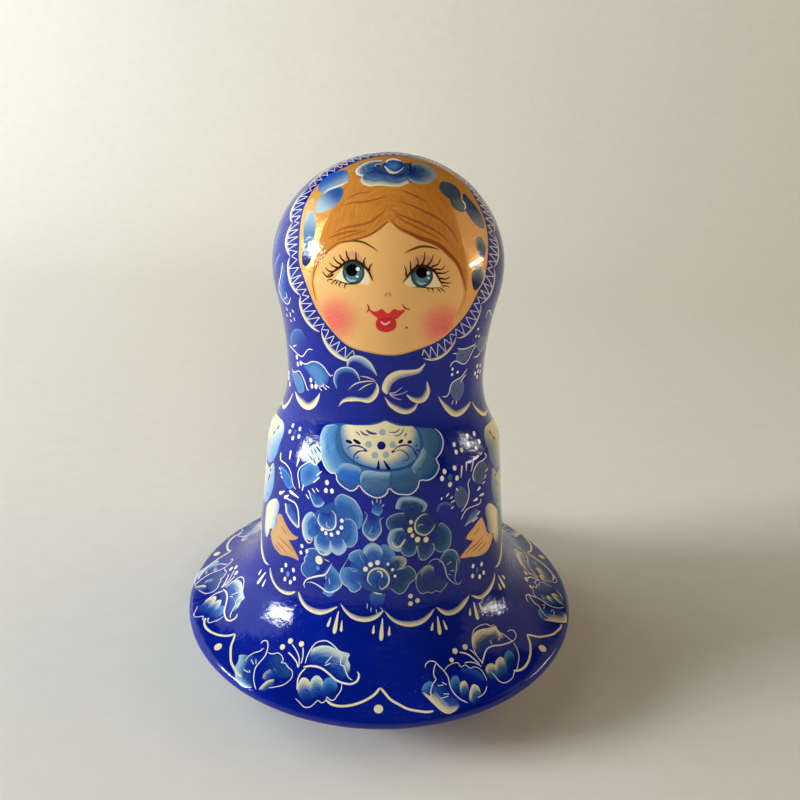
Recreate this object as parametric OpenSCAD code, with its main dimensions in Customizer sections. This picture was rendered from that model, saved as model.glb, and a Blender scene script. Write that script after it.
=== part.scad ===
// Roly-poly doll: a turned wooden body with a wide skirt, standing on a rounded, weighted base.
// A ring of tuned chime rods stands inside it, with a striker that hangs on a swivel.
// +Z is up, the origin is on the table under the doll's axis, and the face looks along -Y.

/* [Turned body] */
// Diameter of the skirt at its rim
rim_d = 120; // [112:1:150]
// Height of the skirt's widest line above the table
rim_z = 14.3; // [12:0.1:18]
// Radius of the rounded rim edge
rim_edge_r = 2.2; // [1.5:0.1:3]
// Slope of the skirt's outer brim, in degrees
skirt_slope = 20; // [15:1:28]
// Radius of the hollow curve between the torso and the skirt
skirt_curve_r = 28; // [10:1:40]
// Height of the neck's narrowest level above the table
neck_z = 90.7; // [84:0.1:120]
// Diameter of the neck
neck_d = 55.8; // [50:0.2:60]
// Radius of the hollow curve from the neck up to the head
neck_upper_r = 98; // [60:1:130]
// Radius of the hollow curve from the neck down to the shoulder
neck_lower_r = 32; // [24:1:40]
// Radius of the rounded shoulder
shoulder_r = 8.5; // [5:0.5:10]
// Diameter of the torso's cone at the shoulder gauge level
shoulder_d = 67.2; // [62:0.2:76]
// Drop from the neck to the shoulder gauge level
shoulder_drop = 16.4; // [14:0.1:20]
// Half angle of the torso's cone, in degrees
torso_taper = 5.8; // [2:0.1:9]
// Diameter of the head
head_d = 63; // [59:0.5:76]
// Height of the crown above the head's widest level
crown_h = 29; // [26:0.5:35]

/* [Hollow of the body] */
// Diameter of the chime chamber
chamber_d = 56; // [46:0.5:58]
// Distance from the shoulder gauge level down to the chamber's top
chamber_top_drop = 4.3; // [4:0.1:9]
// Diameter of the neck bore
neck_bore_d = 42; // [34:0.5:46]
// Wall of the head around its round hollow
head_wall = 6.5; // [5:0.5:9]

/* [Rounded base] */
// Diameter of the small flat that the doll stands on
foot_d = 11; // [8:0.5:16]
// Step of the base inside the rim edge, where the two halves are glued
seam_step = 0.8; // [0.3:0.1:1.5]
// Height of the glued spigot
spigot_h = 5.5; // [4:0.5:8]
// Wall of the spigot around the weight's pocket
spigot_wall = 5.9; // [4:0.1:8]
// Room for glue around and above the spigot
glue_gap = 0.1; // [0.05:0.05:0.3]
// Height of the pocket floor above the table
pocket_floor_z = 8; // [7.5:0.1:9]

/* [Ballast] */
// Diameter of the cast weight
weight_d = 67.4; // [54:0.2:82]
// Thickness of the cast weight
weight_t = 8; // [6:0.5:9]
// Gap around the weight in its pocket
weight_gap = 0.3; // [0.1:0.1:0.5]
// Diameter of the circle of ballast screws
ballast_circle_d = 50; // [44:1:52]
// Diameter of a ballast screw
ballast_screw_d = 3; // [2:0.1:3.6]
// Depth of a ballast screw in the wood
ballast_grip = 4; // [3:0.1:4.5]

/* [Chime] */
// Thickness of the chime plate
plate_t = 1.6; // [1.2:0.1:2.4]
// Gap between the plate's edge and the chamber
plate_gap = 1.5; // [1:0.1:3]
// Height of the spacers under the plate
spacer_h = 4; // [3:0.5:6]
// Outer diameter of a spacer
spacer_d = 6; // [5:0.2:8]
// Diameter of the circle of spacers
spacer_circle_d = 24; // [18:1:30]
// Diameter of a plate screw and of a bridge screw
small_screw_d = 2.5; // [2:0.1:3]
// Depth of a plate screw in the weight
plate_grip = 4; // [3:0.5:5]
// Number of chime rods
rod_count = 8; // [8:1:8]
// Diameter of a chime rod
rod_d = 2.4; // [1.6:0.1:3]
// Diameter of the circle of rods
rod_circle_d = 36; // [34:0.5:44]
// Free length of the shortest rod
rod_short = 22; // [20:1:26]
// Step in length from one rod to the next longer one
rod_step = 2; // [1:0.1:2.4]

/* [Hanger and striker] */
// Thickness of the bridge's steel strip
strip_t = 1; // [0.8:0.1:1.6]
// Width of the bridge's steel strip
strip_w = 6; // [5:0.2:8]
// Distance of the bridge's legs from the plate's edge
leg_inset = 3; // [1:0.1:5]
// Height of the bridge above the chime plate
bridge_h = 47.4; // [44:0.1:49]
// Length of the bridge's feet
foot_l = 8; // [7:0.1:9]
// Diameter of the swivel stud's shank
stud_d = 3; // [2:0.1:3.6]
// Diameter of the swivel stud's head and washer
stud_head_d = 6; // [5:0.2:8]
// Diameter of the swivel stud's fork
fork_d = 6.4; // [5.6:0.2:8]
// Distance of the striker's pin below the bridge's strip
pin_drop = 5.5; // [5:0.1:7]
// Diameter of the striker's pin
pin_d = 2; // [1.6:0.1:2.4]
// Thickness of the striker's eye
eye_t = 1.6; // [1.2:0.1:2]
// Wall of the striker's eye around its bore
eye_wall = 1.15; // [1:0.05:1.4]
// Diameter of the striker's stem
stem_d = 1.8; // [1.4:0.1:2]
// Length from the pin to the centre of the striker's ball
striker_l = 28.5; // [26:0.5:30]
// Diameter of the striker's ball
ball_d = 14; // [10:0.5:15]
// Radial clearance of a turning fit
run_gap = 0.05; // [0.02:0.01:0.1]
// Radial clearance of a pressed or threaded fit
press_gap = 0.02; // [0.01:0.01:0.04]
// Side clearance of the eye in the fork
side_gap = 0.3; // [0.2:0.05:0.5]

/* [Hidden] */
$fn = 96;
over = 1;            // how far a cutting solid runs past what it cuts
arc_steps = 14;      // straight steps in each round stretch of the outline

// Outline of the turned body, as [distance from the axis, height]
rim_r = rim_d / 2;
seam_z = rim_z - rim_edge_r;
rim_centre = [rim_r - rim_edge_r, rim_z];
neck_r = neck_d / 2;
head_r = head_d / 2;
upper_centre = [neck_r + neck_upper_r, neck_z];
lower_centre = [neck_r + neck_lower_r, neck_z];
head_z = neck_z + sqrt(pow(head_r + neck_upper_r, 2) - pow(upper_centre[0], 2));
total_h = head_z + crown_h;
jaw_angle = atan2(neck_z - head_z, upper_centre[0]);

// The torso's cone: a point on it, its direction upwards and its outward normal
torso_out = [cos(torso_taper), sin(torso_taper)];
torso_up = [-sin(torso_taper), cos(torso_taper)];
gauge = [shoulder_d / 2, neck_z - shoulder_drop];

// The shoulder's round touches the torso's cone and the lower neck curve
shoulder_line = gauge - shoulder_r * torso_out;
to_lower = shoulder_line - lower_centre;
reach = to_lower * torso_up;
span = pow(reach, 2) - to_lower * to_lower + pow(neck_lower_r + shoulder_r, 2);
shoulder_centre = shoulder_line - (reach + sqrt(span)) * torso_up;
lower_end = atan2(shoulder_centre[1] - neck_z, shoulder_centre[0] - lower_centre[0]) + 360;

// The skirt's brim touches the rim edge, and a hollow curve joins it to the torso
brim_out = [sin(skirt_slope), cos(skirt_slope)];
brim_in = [-cos(skirt_slope), sin(skirt_slope)];
brim_end = rim_centre + rim_edge_r * brim_out;
corner_run = cross2(brim_end - gauge, torso_up) / cross2(torso_up, brim_in);
corner = brim_end + corner_run * brim_in;
half_turn = (90 - skirt_slope - torso_taper) / 2;
skirt_r = min(skirt_curve_r, 0.97 * corner_run / tan(half_turn));
skirt_start = corner + skirt_r * tan(half_turn) * torso_up;
skirt_centre = skirt_start + skirt_r * torso_out;

// The rounded base is a slice of one large ball, cut flat at the foot
foot_r = foot_d / 2;
seam_r = rim_r - rim_edge_r - seam_step;
dish_z = (pow(seam_r, 2) + pow(seam_z, 2) - pow(foot_r, 2)) / (2 * seam_z);
dish_r = sqrt(pow(foot_r, 2) + pow(dish_z, 2));
foot_angle = atan2(-dish_z, foot_r);
seam_angle = atan2(seam_z - dish_z, seam_r);

// The hollow of the body and the glued joint
chamber_r = chamber_d / 2;
chamber_top = gauge[1] - chamber_top_drop;
neck_bore_r = neck_bore_d / 2;
hollow_r = head_r - head_wall;
hollow_start = -acos(neck_bore_r / hollow_r);
weight_r = weight_d / 2;
pocket_r = weight_r + weight_gap;
spigot_r = pocket_r + spigot_wall;
spigot_top = seam_z + spigot_h;
socket_r = spigot_r + glue_gap;
socket_top = spigot_top + 5 * glue_gap;

// Heights of the ballast and the chime
weight_top = pocket_floor_z + weight_t;
plate_z = weight_top + spacer_h;
plate_top = plate_z + plate_t;
plate_r = chamber_r - plate_gap;
rod_r = rod_d / 2;
rod_circle_r = rod_circle_d / 2;
screw_r = small_screw_d / 2;
screw_head_r = 0.8 * small_screw_d;
screw_head_t = 0.56 * small_screw_d;
ballast_r = ballast_screw_d / 2;
ballast_head_r = 0.73 * ballast_screw_d;
ballast_head_t = 0.58 * ballast_screw_d;

// Hanger bridge, from the plate up to its cross strip
leg_x = plate_r - leg_inset;
bridge_under = plate_top + bridge_h - strip_t;
bridge_top = plate_top + bridge_h;
bend_r = 2 * strip_t;
foot_screw_x = leg_x - strip_t - foot_l / 2 + 0.5;
tail_l = 1;          // how far a bridge screw stands out under the plate

// Swivel stud, with its fork under the bridge
stud_r = stud_d / 2;
washer_t = 0.6;
stud_play = 0.1;     // up and down play of the stud
stud_head_t = 1.2;
head_under = bridge_top + washer_t + run_gap;
fork_top = bridge_under - stud_play;
pin_z = bridge_under - pin_drop;
pin_r = pin_d / 2;
eye_bore_r = pin_r + run_gap;
eye_r = eye_bore_r + eye_wall;
fork_r = fork_d / 2;
fork_bottom = pin_z - eye_r - 0.8;
slot_top = pin_z + eye_r + side_gap;
slot_w = eye_t + 2 * side_gap;
pin_l = fork_d - 0.4;

// Striker: its ball sits between a collar on the stem and a nut
stem_r = stem_d / 2;
ball_r = ball_d / 2;
ball_z = pin_z - striker_l;
ball_bore_r = stem_r + press_gap;
ball_seat = sqrt(pow(ball_r, 2) - pow(ball_bore_r, 2));
collar_r = 1.8 * stem_r;
collar_t = 1;
nut_t = 1.6;
nut_r = 2.5 * stem_r;
nut_top = ball_z - ball_seat;
stem_end = nut_top - nut_t - 0.6;

echo(total_height = total_h, brim_radius = skirt_r, dish_radius = dish_r);

// Cross product of two directions in the outline's plane
function cross2(a, b) = a[0] * b[1] - a[1] * b[0];

// Points of a round stretch, from one angle to another
function arc(centre, r, from, to, stretch = 1) = [
    for (i = [0 : arc_steps])
        let (a = from + (to - from) * i / arc_steps)
        centre + [r * cos(a), stretch * r * sin(a)]
];

// Outside of the turned body, from the crown down to the seam under the rim
function body_outline() = concat(
    arc([0, head_z], head_r, 90, 0, crown_h / head_r),
    arc([0, head_z], head_r, 0, jaw_angle),
    arc(upper_centre, neck_upper_r, 180 + jaw_angle, 180),
    arc(lower_centre, neck_lower_r, 180, lower_end),
    arc(shoulder_centre, shoulder_r, lower_end - 180, torso_taper),
    arc(skirt_centre, skirt_r, 180 + torso_taper, 270 - skirt_slope),
    arc(rim_centre, rim_edge_r, 90 - skirt_slope, -90),
    [[0, seam_z]]
);

// Hollow of the body: socket for the base, chime chamber, neck bore and round head
function hollow_outline() = concat(
    [
        [0, seam_z - over],
        [socket_r, seam_z - over],
        [socket_r, socket_top],
        [chamber_r, socket_top],
        [chamber_r, chamber_top],
        [neck_bore_r, chamber_top + chamber_r - neck_bore_r]
    ],
    arc([0, head_z], hollow_r, hollow_start, 90)
);

// Rounded base below its glued spigot
function dish_outline() = concat(
    [[0, 0]],
    arc([0, dish_z], dish_r, foot_angle, seam_angle),
    [[spigot_r, seam_z], [spigot_r, spigot_top], [0, spigot_top]]
);

// Copies its children round the axis
module around(count, r, first = 0) {
    for (i = [0 : count - 1])
        rotate(first + 360 * i / count)
            translate([r, 0, 0])
                children();
}

// A round bar between two heights
module bar(r, from, to) {
    translate([0, 0, from])
        cylinder(h = to - from, r = r);
}

// A flat-headed screw whose head stands on a seat, with its shank going down to a depth
module screw(shank_r, head_r, head_t, seat, tip) {
    bar(shank_r, tip, seat);
    difference() {
        bar(head_r, seat, seat + head_t);
        translate([-head_r, -0.15 * head_r, seat + head_t / 2])
            cube([2 * head_r, 0.3 * head_r, head_t]);
    }
}

module body_shell() {
    color("mediumblue")
        rotate_extrude()
            difference() {
                polygon(body_outline());
                polygon(hollow_outline());
            }
}

module base_bowl() {
    color("midnightblue")
        difference() {
            rotate_extrude()
                polygon(dish_outline());
            bar(pocket_r, pocket_floor_z, spigot_top + over);
            around(3, ballast_circle_d / 2, 90)
                bar(ballast_r + press_gap, pocket_floor_z - ballast_grip, pocket_floor_z + over);
        }
}

module ballast_weight() {
    color("dimgray")
        difference() {
            bar(weight_r, pocket_floor_z, weight_top);
            around(3, ballast_circle_d / 2, 90)
                bar(ballast_r + 5 * press_gap, pocket_floor_z - over, weight_top + over);
            around(3, spacer_circle_d / 2, 30)
                bar(screw_r + press_gap, weight_top - plate_grip, weight_top + over);
        }
}

module ballast_screws() {
    color("silver")
        around(3, ballast_circle_d / 2, 90)
            screw(ballast_r, ballast_head_r, ballast_head_t, weight_top, pocket_floor_z - ballast_grip);
}

module chime_plate() {
    color("goldenrod")
        difference() {
            bar(plate_r, plate_z, plate_top);
            around(3, spacer_circle_d / 2, 30)
                bar(screw_r + press_gap, plate_z - over, plate_top + over);
            around(rod_count, rod_circle_r, 180 / rod_count)
                bar(rod_r + press_gap, plate_z - over, plate_top + over);
            around(2, foot_screw_x)
                bar(screw_r + press_gap, plate_z - over, plate_top + over);
        }
}

module plate_spacers() {
    color("darkgoldenrod")
        around(3, spacer_circle_d / 2, 30)
            difference() {
                bar(spacer_d / 2, weight_top, plate_z);
                bar(screw_r + press_gap, weight_top - over, plate_z + over);
            }
}

module plate_screws() {
    color("silver")
        around(3, spacer_circle_d / 2, 30)
            screw(screw_r, screw_head_r, screw_head_t, plate_top, weight_top - plate_grip);
}

// One rod of the chime, standing in the plate; each is a step longer than the one before
module chime_rod(i) {
    color("lightsteelblue")
        rotate(180 / rod_count + 360 * i / rod_count)
            translate([rod_circle_r, 0, 0])
                bar(rod_r, plate_z, plate_top + rod_short + rod_step * i);
}

// Side view of the bridge's bent strip outside its inner or outer face
module bridge_face(half_w, top, r) {
    translate([-half_w, plate_top])
        square([2 * half_w, top - r - plate_top]);
    translate([r - half_w, plate_top])
        square([2 * (half_w - r), top - plate_top]);
    for (side = [-1, 1])
        translate([side * (half_w - r), top - r])
            circle(r);
}

module hanger_bridge() {
    color("slategray")
        difference() {
            union() {
                rotate([90, 0, 0])
                    linear_extrude(strip_w, center = true)
                        difference() {
                            bridge_face(leg_x, bridge_top, bend_r);
                            translate([0, -over])
                                bridge_face(leg_x - strip_t, bridge_under + over, bend_r - strip_t);
                        }
                for (side = [0, 180])
                    rotate(side)
                        translate([leg_x - strip_t / 2 - foot_l, -strip_w / 2, plate_top])
                            cube([foot_l, strip_w, strip_t]);
            }
            bar(stud_r + run_gap, bridge_under - over, bridge_top + over);
            around(2, foot_screw_x)
                bar(screw_r + press_gap, plate_top - over, plate_top + strip_t + over);
        }
}

module bridge_screws() {
    color("silver")
        around(2, foot_screw_x)
            screw(screw_r, screw_head_r, screw_head_t, plate_top + strip_t, plate_z - tail_l);
}

module swivel_washer() {
    color("gold")
        difference() {
            bar(stud_head_d / 2, bridge_top, bridge_top + washer_t);
            bar(stud_r + run_gap, bridge_top - over, bridge_top + washer_t + over);
        }
}

module swivel_stud() {
    color("darkkhaki")
        difference() {
            union() {
                bar(stud_head_d / 2, head_under, head_under + stud_head_t);
                bar(stud_r, fork_top - over, head_under + stud_head_t / 2);
                bar(fork_r, fork_bottom, fork_top);
            }
            translate([-slot_w / 2, -fork_r - over, fork_bottom - over])
                cube([slot_w, fork_d + 2 * over, slot_top - fork_bottom + over]);
            translate([0, 0, pin_z])
                rotate([0, 90, 0])
                    cylinder(h = fork_d + 2 * over, r = pin_r + press_gap, center = true);
        }
}

module swivel_pin() {
    color("silver")
        translate([0, 0, pin_z])
            rotate([0, 90, 0])
                cylinder(h = pin_l, r = pin_r, center = true);
}

module striker_stem() {
    color("silver")
        difference() {
            union() {
                translate([0, 0, pin_z])
                    rotate([0, 90, 0])
                        cylinder(h = eye_t, r = eye_r, center = true);
                bar(stem_r, stem_end, pin_z);
                bar(collar_r, ball_z + ball_seat, ball_z + ball_seat + collar_t);
            }
            translate([0, 0, pin_z])
                rotate([0, 90, 0])
                    cylinder(h = fork_d, r = eye_bore_r, center = true);
        }
}

module striker_ball() {
    color("gold")
        difference() {
            translate([0, 0, ball_z])
                sphere(ball_r);
            bar(ball_bore_r, ball_z - ball_d, ball_z + ball_d);
        }
}

module striker_nut() {
    color("silver")
        difference() {
            translate([0, 0, nut_top - nut_t])
                cylinder(h = nut_t, r = nut_r, $fn = 6);
            bar(ball_bore_r, nut_top - nut_t - over, nut_top + over);
        }
}

body_shell();
base_bowl();
ballast_weight();
ballast_screws();
chime_plate();
plate_spacers();
plate_screws();
chime_rod(0);  // chime_rod_1
chime_rod(1);  // chime_rod_2
chime_rod(2);  // chime_rod_3
chime_rod(3);  // chime_rod_4
chime_rod(4);  // chime_rod_5
chime_rod(5);  // chime_rod_6
chime_rod(6);  // chime_rod_7
chime_rod(7);  // chime_rod_8
hanger_bridge();
bridge_screws();
swivel_washer();
swivel_stud();
swivel_pin();
striker_stem();
striker_ball();
striker_nut();
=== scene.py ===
"""Looks of the painted roly-poly doll.

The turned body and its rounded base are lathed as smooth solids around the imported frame. Every painted
motif is a set of thin raised strokes that sit on the turned body, laid where the photograph shows them.
Sizes are in millimetres unless a name says otherwise, pixels are those of the 800 x 800 photograph, and MM
takes millimetres to metres.
"""
import math

import bpy
import numpy as np
from mathutils import Matrix, Vector


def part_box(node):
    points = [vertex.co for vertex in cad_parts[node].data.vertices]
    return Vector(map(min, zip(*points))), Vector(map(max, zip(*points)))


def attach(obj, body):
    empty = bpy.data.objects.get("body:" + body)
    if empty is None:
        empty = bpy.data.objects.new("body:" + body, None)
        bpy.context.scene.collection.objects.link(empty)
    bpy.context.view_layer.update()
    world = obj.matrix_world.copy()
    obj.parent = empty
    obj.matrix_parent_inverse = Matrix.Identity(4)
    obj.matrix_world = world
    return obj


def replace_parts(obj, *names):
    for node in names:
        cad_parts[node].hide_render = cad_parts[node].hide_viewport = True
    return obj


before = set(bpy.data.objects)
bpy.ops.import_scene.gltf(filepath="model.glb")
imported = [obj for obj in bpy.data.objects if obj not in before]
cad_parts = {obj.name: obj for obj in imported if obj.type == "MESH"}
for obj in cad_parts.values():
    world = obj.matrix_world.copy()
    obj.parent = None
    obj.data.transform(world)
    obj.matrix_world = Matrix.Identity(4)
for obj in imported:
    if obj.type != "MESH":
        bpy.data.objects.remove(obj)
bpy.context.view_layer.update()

MM = 0.001

# Driving sizes of the turned body
shell_low, shell_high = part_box("body_shell")
SEAM_Z = shell_low.z / MM
CROWN_Z = shell_high.z / MM
RIM_R = shell_high.x / MM
RIM_EDGE_R = 2.2
SKIRT_SLOPE = 20
SKIRT_CURVE_R = 28
NECK_Z = 90.7
NECK_R = 27.9
NECK_UPPER_R = 98
NECK_LOWER_R = 32
SHOULDER_R = 8.5
GAUGE = np.array([33.6, 74.3])
TORSO_TAPER = 5.8
HEAD_R = 31.5
CROWN_H = 29

# Driving sizes of the hollow and of the rounded base
SOCKET_R = 40
SOCKET_TOP = 18.1
CHAMBER_R = 28
CHAMBER_TOP = 70
NECK_BORE_R = 21
HOLLOW_R = 25
FOOT_R = 5.5
SEAM_R = 57
SPIGOT_R = 39.9
SPIGOT_TOP = 17.6
POCKET_R = 34
POCKET_FLOOR = 8

# How finely the two solids are turned
BODY_SIDES = 288
BASE_SIDES = 192
BODY_STEP = 1.2      # between two rings of the body
SKIN_STEP = 0.25     # between two points of the outline that carries the paint
SKIN_FINENESS = 6
SHARP_TURN = 35      # degrees between two faces from which their edge stays sharp

# The camera, where the outline in the photograph puts it
FRAME_SIDE = 800
LENS = 38
SENSOR = 36
CAMERA_AT = np.array([0, -227.38, 176.44])
CAMERA_PITCH = 22.903
CAMERA_YAW = 1.094
CAMERA_ROLL = 1.857
FOCAL = LENS / SENSOR * FRAME_SIDE
VIEW_NEAR = 90       # where the search along a pixel's ray starts, ends and steps
VIEW_FAR = 380
VIEW_STEP = 0.5
HALVINGS = 18        # of the last step, to the place where the ray meets the doll
PX = 0.26            # one pixel on the doll's front
PEN = 0.8            # share of its full width that a pressed brush leaves

# Heights of the paint above the turned wood
SINK = 0.02          # how deep a stroke's edge goes into the ground coat
WASH = 0.03
PETAL = 0.05
UPPER = 0.08
LINE = 0.11
BEAD = 0.15
FINE_LINE = LINE + 0.02
LONGEST_STEP = 1.2   # between two rows of a stroke

# How finely the strokes are drawn
CURVE_STEPS = 14     # between two given points
POINT_EVERY = 1.6    # pixels along a stroke
SPARE_POINTS = 4
LARGE_DOT = 4        # pixels of radius from which a dot has the second number of sides
DOT_SIDES = (14, 36)
DOT_RINGS = np.array([1, 0.95, 0.75, 0.4, 0.14])
DOT_DOME = np.array([0, 0.8, 0.94, 1, 1])
RIBBON_ROWS = np.array([-1, -0.88, 0, 0.88, 1])
RIBBON_DOME = 1 - 0.22 * RIBBON_ROWS ** 2
PETAL_ROWS = np.array([0, 0.04, 0.12, 0.23, 0.36, 0.5, 0.66, 0.83, 1])
CRESCENT_ROWS = np.array([0, 0.1, 0.3, 0.55, 0.8, 1])
BLOT_RINGS = (0, 0.04, 0.14, 0.3, 0.5, 0.7, 0.88)
SMALL_RINGS = (0, 0.1, 0.4, 0.8)


# Paints

def tint(code):
    """Linear colour of a paint that is written as its screen colour."""
    parts = [int(code[i:i + 2], 16) / 255 for i in (1, 3, 5)]
    return np.array([c / 12.92 if c < 0.04045 else ((c + 0.055) / 1.055) ** 2.4 for c in parts])


COBALT = tint("#051c8b")
NAVY = tint("#0a0e4c")
INK = tint("#1a1a6e")
CREAM = tint("#f0e4b9")
WHITE = tint("#f7f3e6")
ICE = tint("#a3c8e0")
PALE = tint("#cfdfd0")
SKY = tint("#5590cb")
AZURE = tint("#2359ab")
TEAL = tint("#2f6896")
SEA = tint("#123a76")
DEEP = tint("#13249a")
SKIN = tint("#efba74")
BLUSH = tint("#ea5c60")
GOLD = tint("#eda94c")
OLD_GOLD = tint("#c9832f")
HAIR = tint("#d88f3c")
HAIR_SHADE = tint("#99501a")
RUSSET = tint("#8f4a26")
LASH = tint("#3a2012")
LIP = tint("#de2a30")
LIP_DEEP = tint("#9c1a1e")
LIP_LIGHT = tint("#f6bdae")
IRIS = tint("#5b8490")
IRIS_DEEP = tint("#16323d")
PUPIL = tint("#06080c")
SCLERA = tint("#f3e2bd")
LID = tint("#c98d7e")
HAND = tint("#c79c69")
HAND_SHADE = tint("#b5702c")
DOVE = tint("#9fb4bd")
STEEL = tint("#456f9c")
SLATE = tint("#5c70a8")
RUBBED = tint("#7f8dbd")
DUST = tint("#c9cfe0")


# The outline of the turned body

def arc(centre, radius, start, end, steps, stretch=1):
    """Points of a round stretch of an outline, between two angles in degrees."""
    angles = np.radians(np.linspace(start, end, steps + 1))
    return np.stack([centre[0] + radius * np.cos(angles),
                     centre[1] + stretch * radius * np.sin(angles)], axis=1)


def direction(degrees):
    """Unit vector at an angle from the outline's radius."""
    return np.array([math.cos(math.radians(degrees)), math.sin(math.radians(degrees))])


def cross2(a, b):
    """Cross product of two directions in the outline's plane."""
    return a[0] * b[1] - a[1] * b[0]


def join(*stretches):
    """One outline from several stretches, without the points that meet."""
    points = np.vstack(stretches)
    far = np.linalg.norm(np.diff(points, axis=0), axis=1) > 1e-4
    return points[np.concatenate([[True], far])]


HEAD_Z = CROWN_Z - CROWN_H
UPPER_CENTRE = np.array([NECK_R + NECK_UPPER_R, NECK_Z])
LOWER_CENTRE = np.array([NECK_R + NECK_LOWER_R, NECK_Z])
JAW_ANGLE = math.degrees(math.atan2(NECK_Z - HEAD_Z, UPPER_CENTRE[0]))


def shoulder_round():
    """Centre of the shoulder's round, which touches the torso's cone and the lower neck curve."""
    out, up = direction(TORSO_TAPER), direction(TORSO_TAPER + 90)
    line = GAUGE - SHOULDER_R * out
    away = line - LOWER_CENTRE
    reach_up = away @ up
    span = reach_up ** 2 - away @ away + (NECK_LOWER_R + SHOULDER_R) ** 2
    return line - (reach_up + math.sqrt(span)) * up


def skirt_round():
    """Centre of the hollow curve that joins the torso to the brim."""
    out, up = direction(TORSO_TAPER), direction(TORSO_TAPER + 90)
    inward = direction(180 - SKIRT_SLOPE)
    brim_end = np.array([RIM_R - RIM_EDGE_R, SEAM_Z + RIM_EDGE_R]) + RIM_EDGE_R * direction(90 - SKIRT_SLOPE)
    corner = brim_end + cross2(brim_end - GAUGE, up) / cross2(up, inward) * inward
    half_turn = math.radians((90 - SKIRT_SLOPE - TORSO_TAPER) / 2)
    return corner + SKIRT_CURVE_R * math.tan(half_turn) * up + SKIRT_CURVE_R * out


def body_outline(fineness):
    """Outside of the turned body from the crown down to the seam, as radius and height."""
    shoulder = shoulder_round()
    turn_in = math.degrees(math.atan2(shoulder[1] - NECK_Z, shoulder[0] - LOWER_CENTRE[0])) + 360
    return join(
        arc((0, HEAD_Z), HEAD_R, 90, 0, 40 * fineness, CROWN_H / HEAD_R),
        arc((0, HEAD_Z), HEAD_R, 0, JAW_ANGLE, 8 * fineness),
        arc(UPPER_CENTRE, NECK_UPPER_R, 180 + JAW_ANGLE, 180, 20 * fineness),
        arc(LOWER_CENTRE, NECK_LOWER_R, 180, turn_in, 14 * fineness),
        arc(shoulder, SHOULDER_R, turn_in - 180, TORSO_TAPER, 14 * fineness),
        arc(skirt_round(), SKIRT_CURVE_R, 180 + TORSO_TAPER, 270 - SKIRT_SLOPE, 30 * fineness),
        arc((RIM_R - RIM_EDGE_R, SEAM_Z + RIM_EDGE_R), RIM_EDGE_R, 90 - SKIRT_SLOPE, -90, 12 * fineness))


def even(outline, step):
    """The same outline with no straight step longer than a given one."""
    pieces = [outline[:1]]
    for a, b in zip(outline, outline[1:]):
        count = max(1, math.ceil(np.linalg.norm(b - a) / step))
        pieces.append(a + (b - a) * (np.arange(1, count + 1) / count)[:, None])
    return np.vstack(pieces)


# The painted skin: a turn around the axis, nought at the front, and a run down the outline from the crown

skin_line = even(body_outline(SKIN_FINENESS), SKIN_STEP)
skin_run = np.concatenate([[0], np.cumsum(np.linalg.norm(np.diff(skin_line, axis=0), axis=1))])
skin_slope = np.gradient(skin_line, axis=0)
skin_slope /= np.linalg.norm(skin_slope, axis=1)[:, None]
skin_aim = np.stack([-skin_slope[:, 1], skin_slope[:, 0]], axis=1)


def down_key(radius, height):
    """A number that grows all the way down the outline, from the crown over the head to the rim."""
    over = np.degrees(np.arctan2(radius, height - HEAD_Z))
    return np.where(height > HEAD_Z, over, 90 + HEAD_Z - height)


skin_key = down_key(skin_line[:, 0], skin_line[:, 1])


def place(skin, lift):
    """Points and outward normals at a height over places on the skin."""
    turn, run = skin[..., 0], skin[..., 1]
    radius = np.interp(run, skin_run, skin_line[:, 0])
    height = np.interp(run, skin_run, skin_line[:, 1])
    out = np.interp(run, skin_run, skin_aim[:, 0])
    up = np.interp(run, skin_run, skin_aim[:, 1])
    wide = radius + out * lift
    points = np.stack([wide * np.sin(turn), -wide * np.cos(turn), height + up * lift], axis=-1)
    return points, np.stack([out * np.sin(turn), -out * np.cos(turn), up], axis=-1)


def settle(points):
    """Places on the skin nearest to points beside it."""
    radius = np.hypot(points[..., 0], points[..., 1])
    turn = np.arctan2(points[..., 0], -points[..., 1])
    run = np.interp(down_key(radius, points[..., 2]), skin_key, skin_run)
    return np.stack([turn, run], axis=-1)


# The camera's own directions

def camera_axes():
    """Right, up and forward of the camera, in the doll's frame."""
    pitch, yaw, roll = (math.radians(a) for a in (CAMERA_PITCH, CAMERA_YAW, CAMERA_ROLL))
    forward = np.array([math.sin(yaw) * math.cos(pitch), math.cos(yaw) * math.cos(pitch), -math.sin(pitch)])
    level = np.array([math.cos(yaw), -math.sin(yaw), 0])
    upright = np.cross(level, forward)
    right = level * math.cos(roll) + upright * math.sin(roll)
    return right, np.cross(right, forward), forward


VIEW_RIGHT, VIEW_UP, VIEW_FORWARD = camera_axes()
VIEW_REACH = np.arange(VIEW_NEAR, VIEW_FAR, VIEW_STEP)


def beside(points):
    """How far points are outside the turned body, level with them."""
    radius = np.hypot(points[..., 0], points[..., 1])
    height = points[..., 2]
    body = np.interp(-height, -skin_line[:, 1], skin_line[:, 0])
    return radius - np.where(height > CROWN_Z, CROWN_Z - height, body)


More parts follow.
